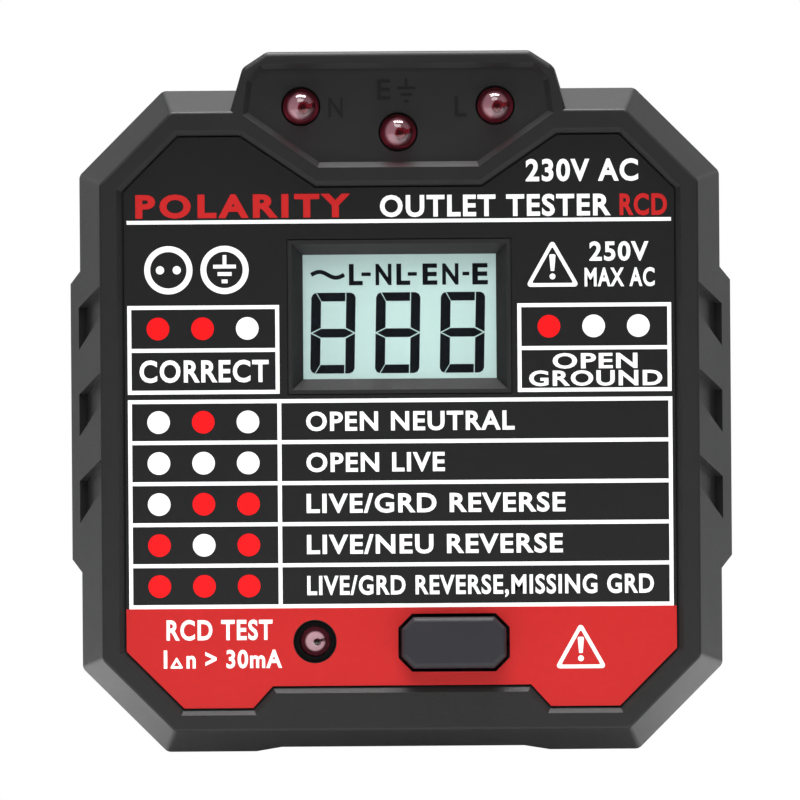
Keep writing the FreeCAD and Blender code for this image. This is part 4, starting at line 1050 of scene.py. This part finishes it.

# %% [markdown]
# ## Inside a lamp
#
# Under the epoxy sits a bright metal cup that holds the crystal, and beside it the post that a
# gold hair runs to. The dome enlarges both, which is why a dark lamp still shows a bright disc
# with a small dark hook in it. All three are profiles turned round an axis. The test lamp's dome
# gathers far more light than its sunken cup gets here, so that cup is painted near white and given
# a weak painted glow that stands in for that light.

# %% Cup, crystal and post
CUP_MIRROR = 0.4
# painted light: a glow on the test lamp's cup in place of light that its shaded bore keeps out
TEST_PAINTED_GLOW = 0.38
TEST_PAINTED_GLOW_TINT = (0.90, 0.76, 0.79, 1.0)
TURNS = 40
cup_silver = metal("lamp_cup", (0.52, 0.48, 0.50), 0.35, (1.0, 1.0, 1.0), 4.0)
cup_silver.set("Metallic", CUP_MIRROR)
# painted light: the test lamp's cup is near white, not mirroring, and glows weakly to make up for
# its bore's shade
cup_painted_light = metal("lamp_cup_painted_light", (0.98, 0.94, 0.95), 0.35, (1.0, 1.0, 1.0), 4.0)
cup_painted_light.set("Metallic", 0.0)
cup_painted_light.set("Emission Color", TEST_PAINTED_GLOW_TINT).set("Emission Strength", TEST_PAINTED_GLOW)
crystal_dark = flat_coat("lamp_crystal", (0.10, 0.004, 0.010), 0.35, 6.0, 0.004, 0.2)


def turned(name, node, profile, finish, side=0.0, up=0.0):
    """A closed round piece: radius r of the profile goes to r cos t and r sin t about the axis.
    The profile starts and ends on the axis, and its stations are forward of the lamp's back."""
    low, high = span(node)
    centre = (low + high) / 2
    radius, station = np.array(profile, float).T
    turn = np.linspace(0, 2 * np.pi, TURNS, endpoint=False)
    x = centre[0] + side + np.outer(radius, np.cos(turn))
    z = centre[2] + up + np.outer(radius, np.sin(turn))
    y = np.repeat((high[1] - station)[:, None], TURNS, axis=1)
    corners = np.stack([x, y, z], axis=-1).reshape(-1, 3) * MM
    k, t = np.meshgrid(np.arange(len(profile) - 1), np.arange(TURNS), indexing="ij")
    following = (t + 1) % TURNS
    faces = np.stack([k * TURNS + t, k * TURNS + following, (k + 1) * TURNS + following,
                      (k + 1) * TURNS + t], axis=-1).reshape(-1, 4)
    mesh = bpy.data.meshes.new(name)
    mesh.from_pydata(corners.tolist(), [], faces.tolist())
    shell = bmesh.new()
    shell.from_mesh(mesh)
    bmesh.ops.remove_doubles(shell, verts=shell.verts, dist=1e-7)
    bmesh.ops.recalc_face_normals(shell, faces=shell.faces)
    shell.to_mesh(mesh)
    shell.free()
    mesh.materials.append(finish.material)
    piece = bpy.data.objects.new(name, mesh)
    bpy.context.collection.objects.link(piece)
    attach(piece, "housing")
    return piece


# profiles as radius and station; hook and post are drawn for a head lamp and grow with the lens
CUP = [(1.18, 0.50), (1.20, 1.75), (1.05, 1.75), (0.50, 1.15), (0.0, 1.15)]
SKIRT_WALL = 0.08
SKIRT_BACK, SKIRT_FRONT = 0.3, 0.42
HEAD_LAMP = 3.8
HOOK = [(0.0, 1.2), (0.30, 1.2), (0.30, 1.62), (0.18, 1.62), (0.18, 1.4), (0.0, 1.4)]
POST = [(0.0, 1.2), (0.13, 1.2), (0.13, 1.9), (0.0, 1.9)]
for node in LAMPS:
    low, high = span(node)
    width = high[0] - low[0]
    skirt = width / 2 - SKIRT_WALL
    profile = [(0.0, SKIRT_BACK), (skirt, SKIRT_BACK), (skirt, SKIRT_FRONT)] + CUP
    bright = cup_painted_light if node == "led_rcd" else cup_silver
    turned(node + "_cup", node, profile, bright)
    grow = (width / HEAD_LAMP) ** 2
    hook = [(radius * grow, station) for radius, station in HOOK]
    post = [(radius * grow, station) for radius, station in POST]
    turned(node + "_crystal", node, hook, crystal_dark, 0.12 * grow, -0.05)
    turned(node + "_post", node, post, crystal_dark, 0.58 * grow, 0.05)
print("lamp innards", 3 * len(LAMPS))
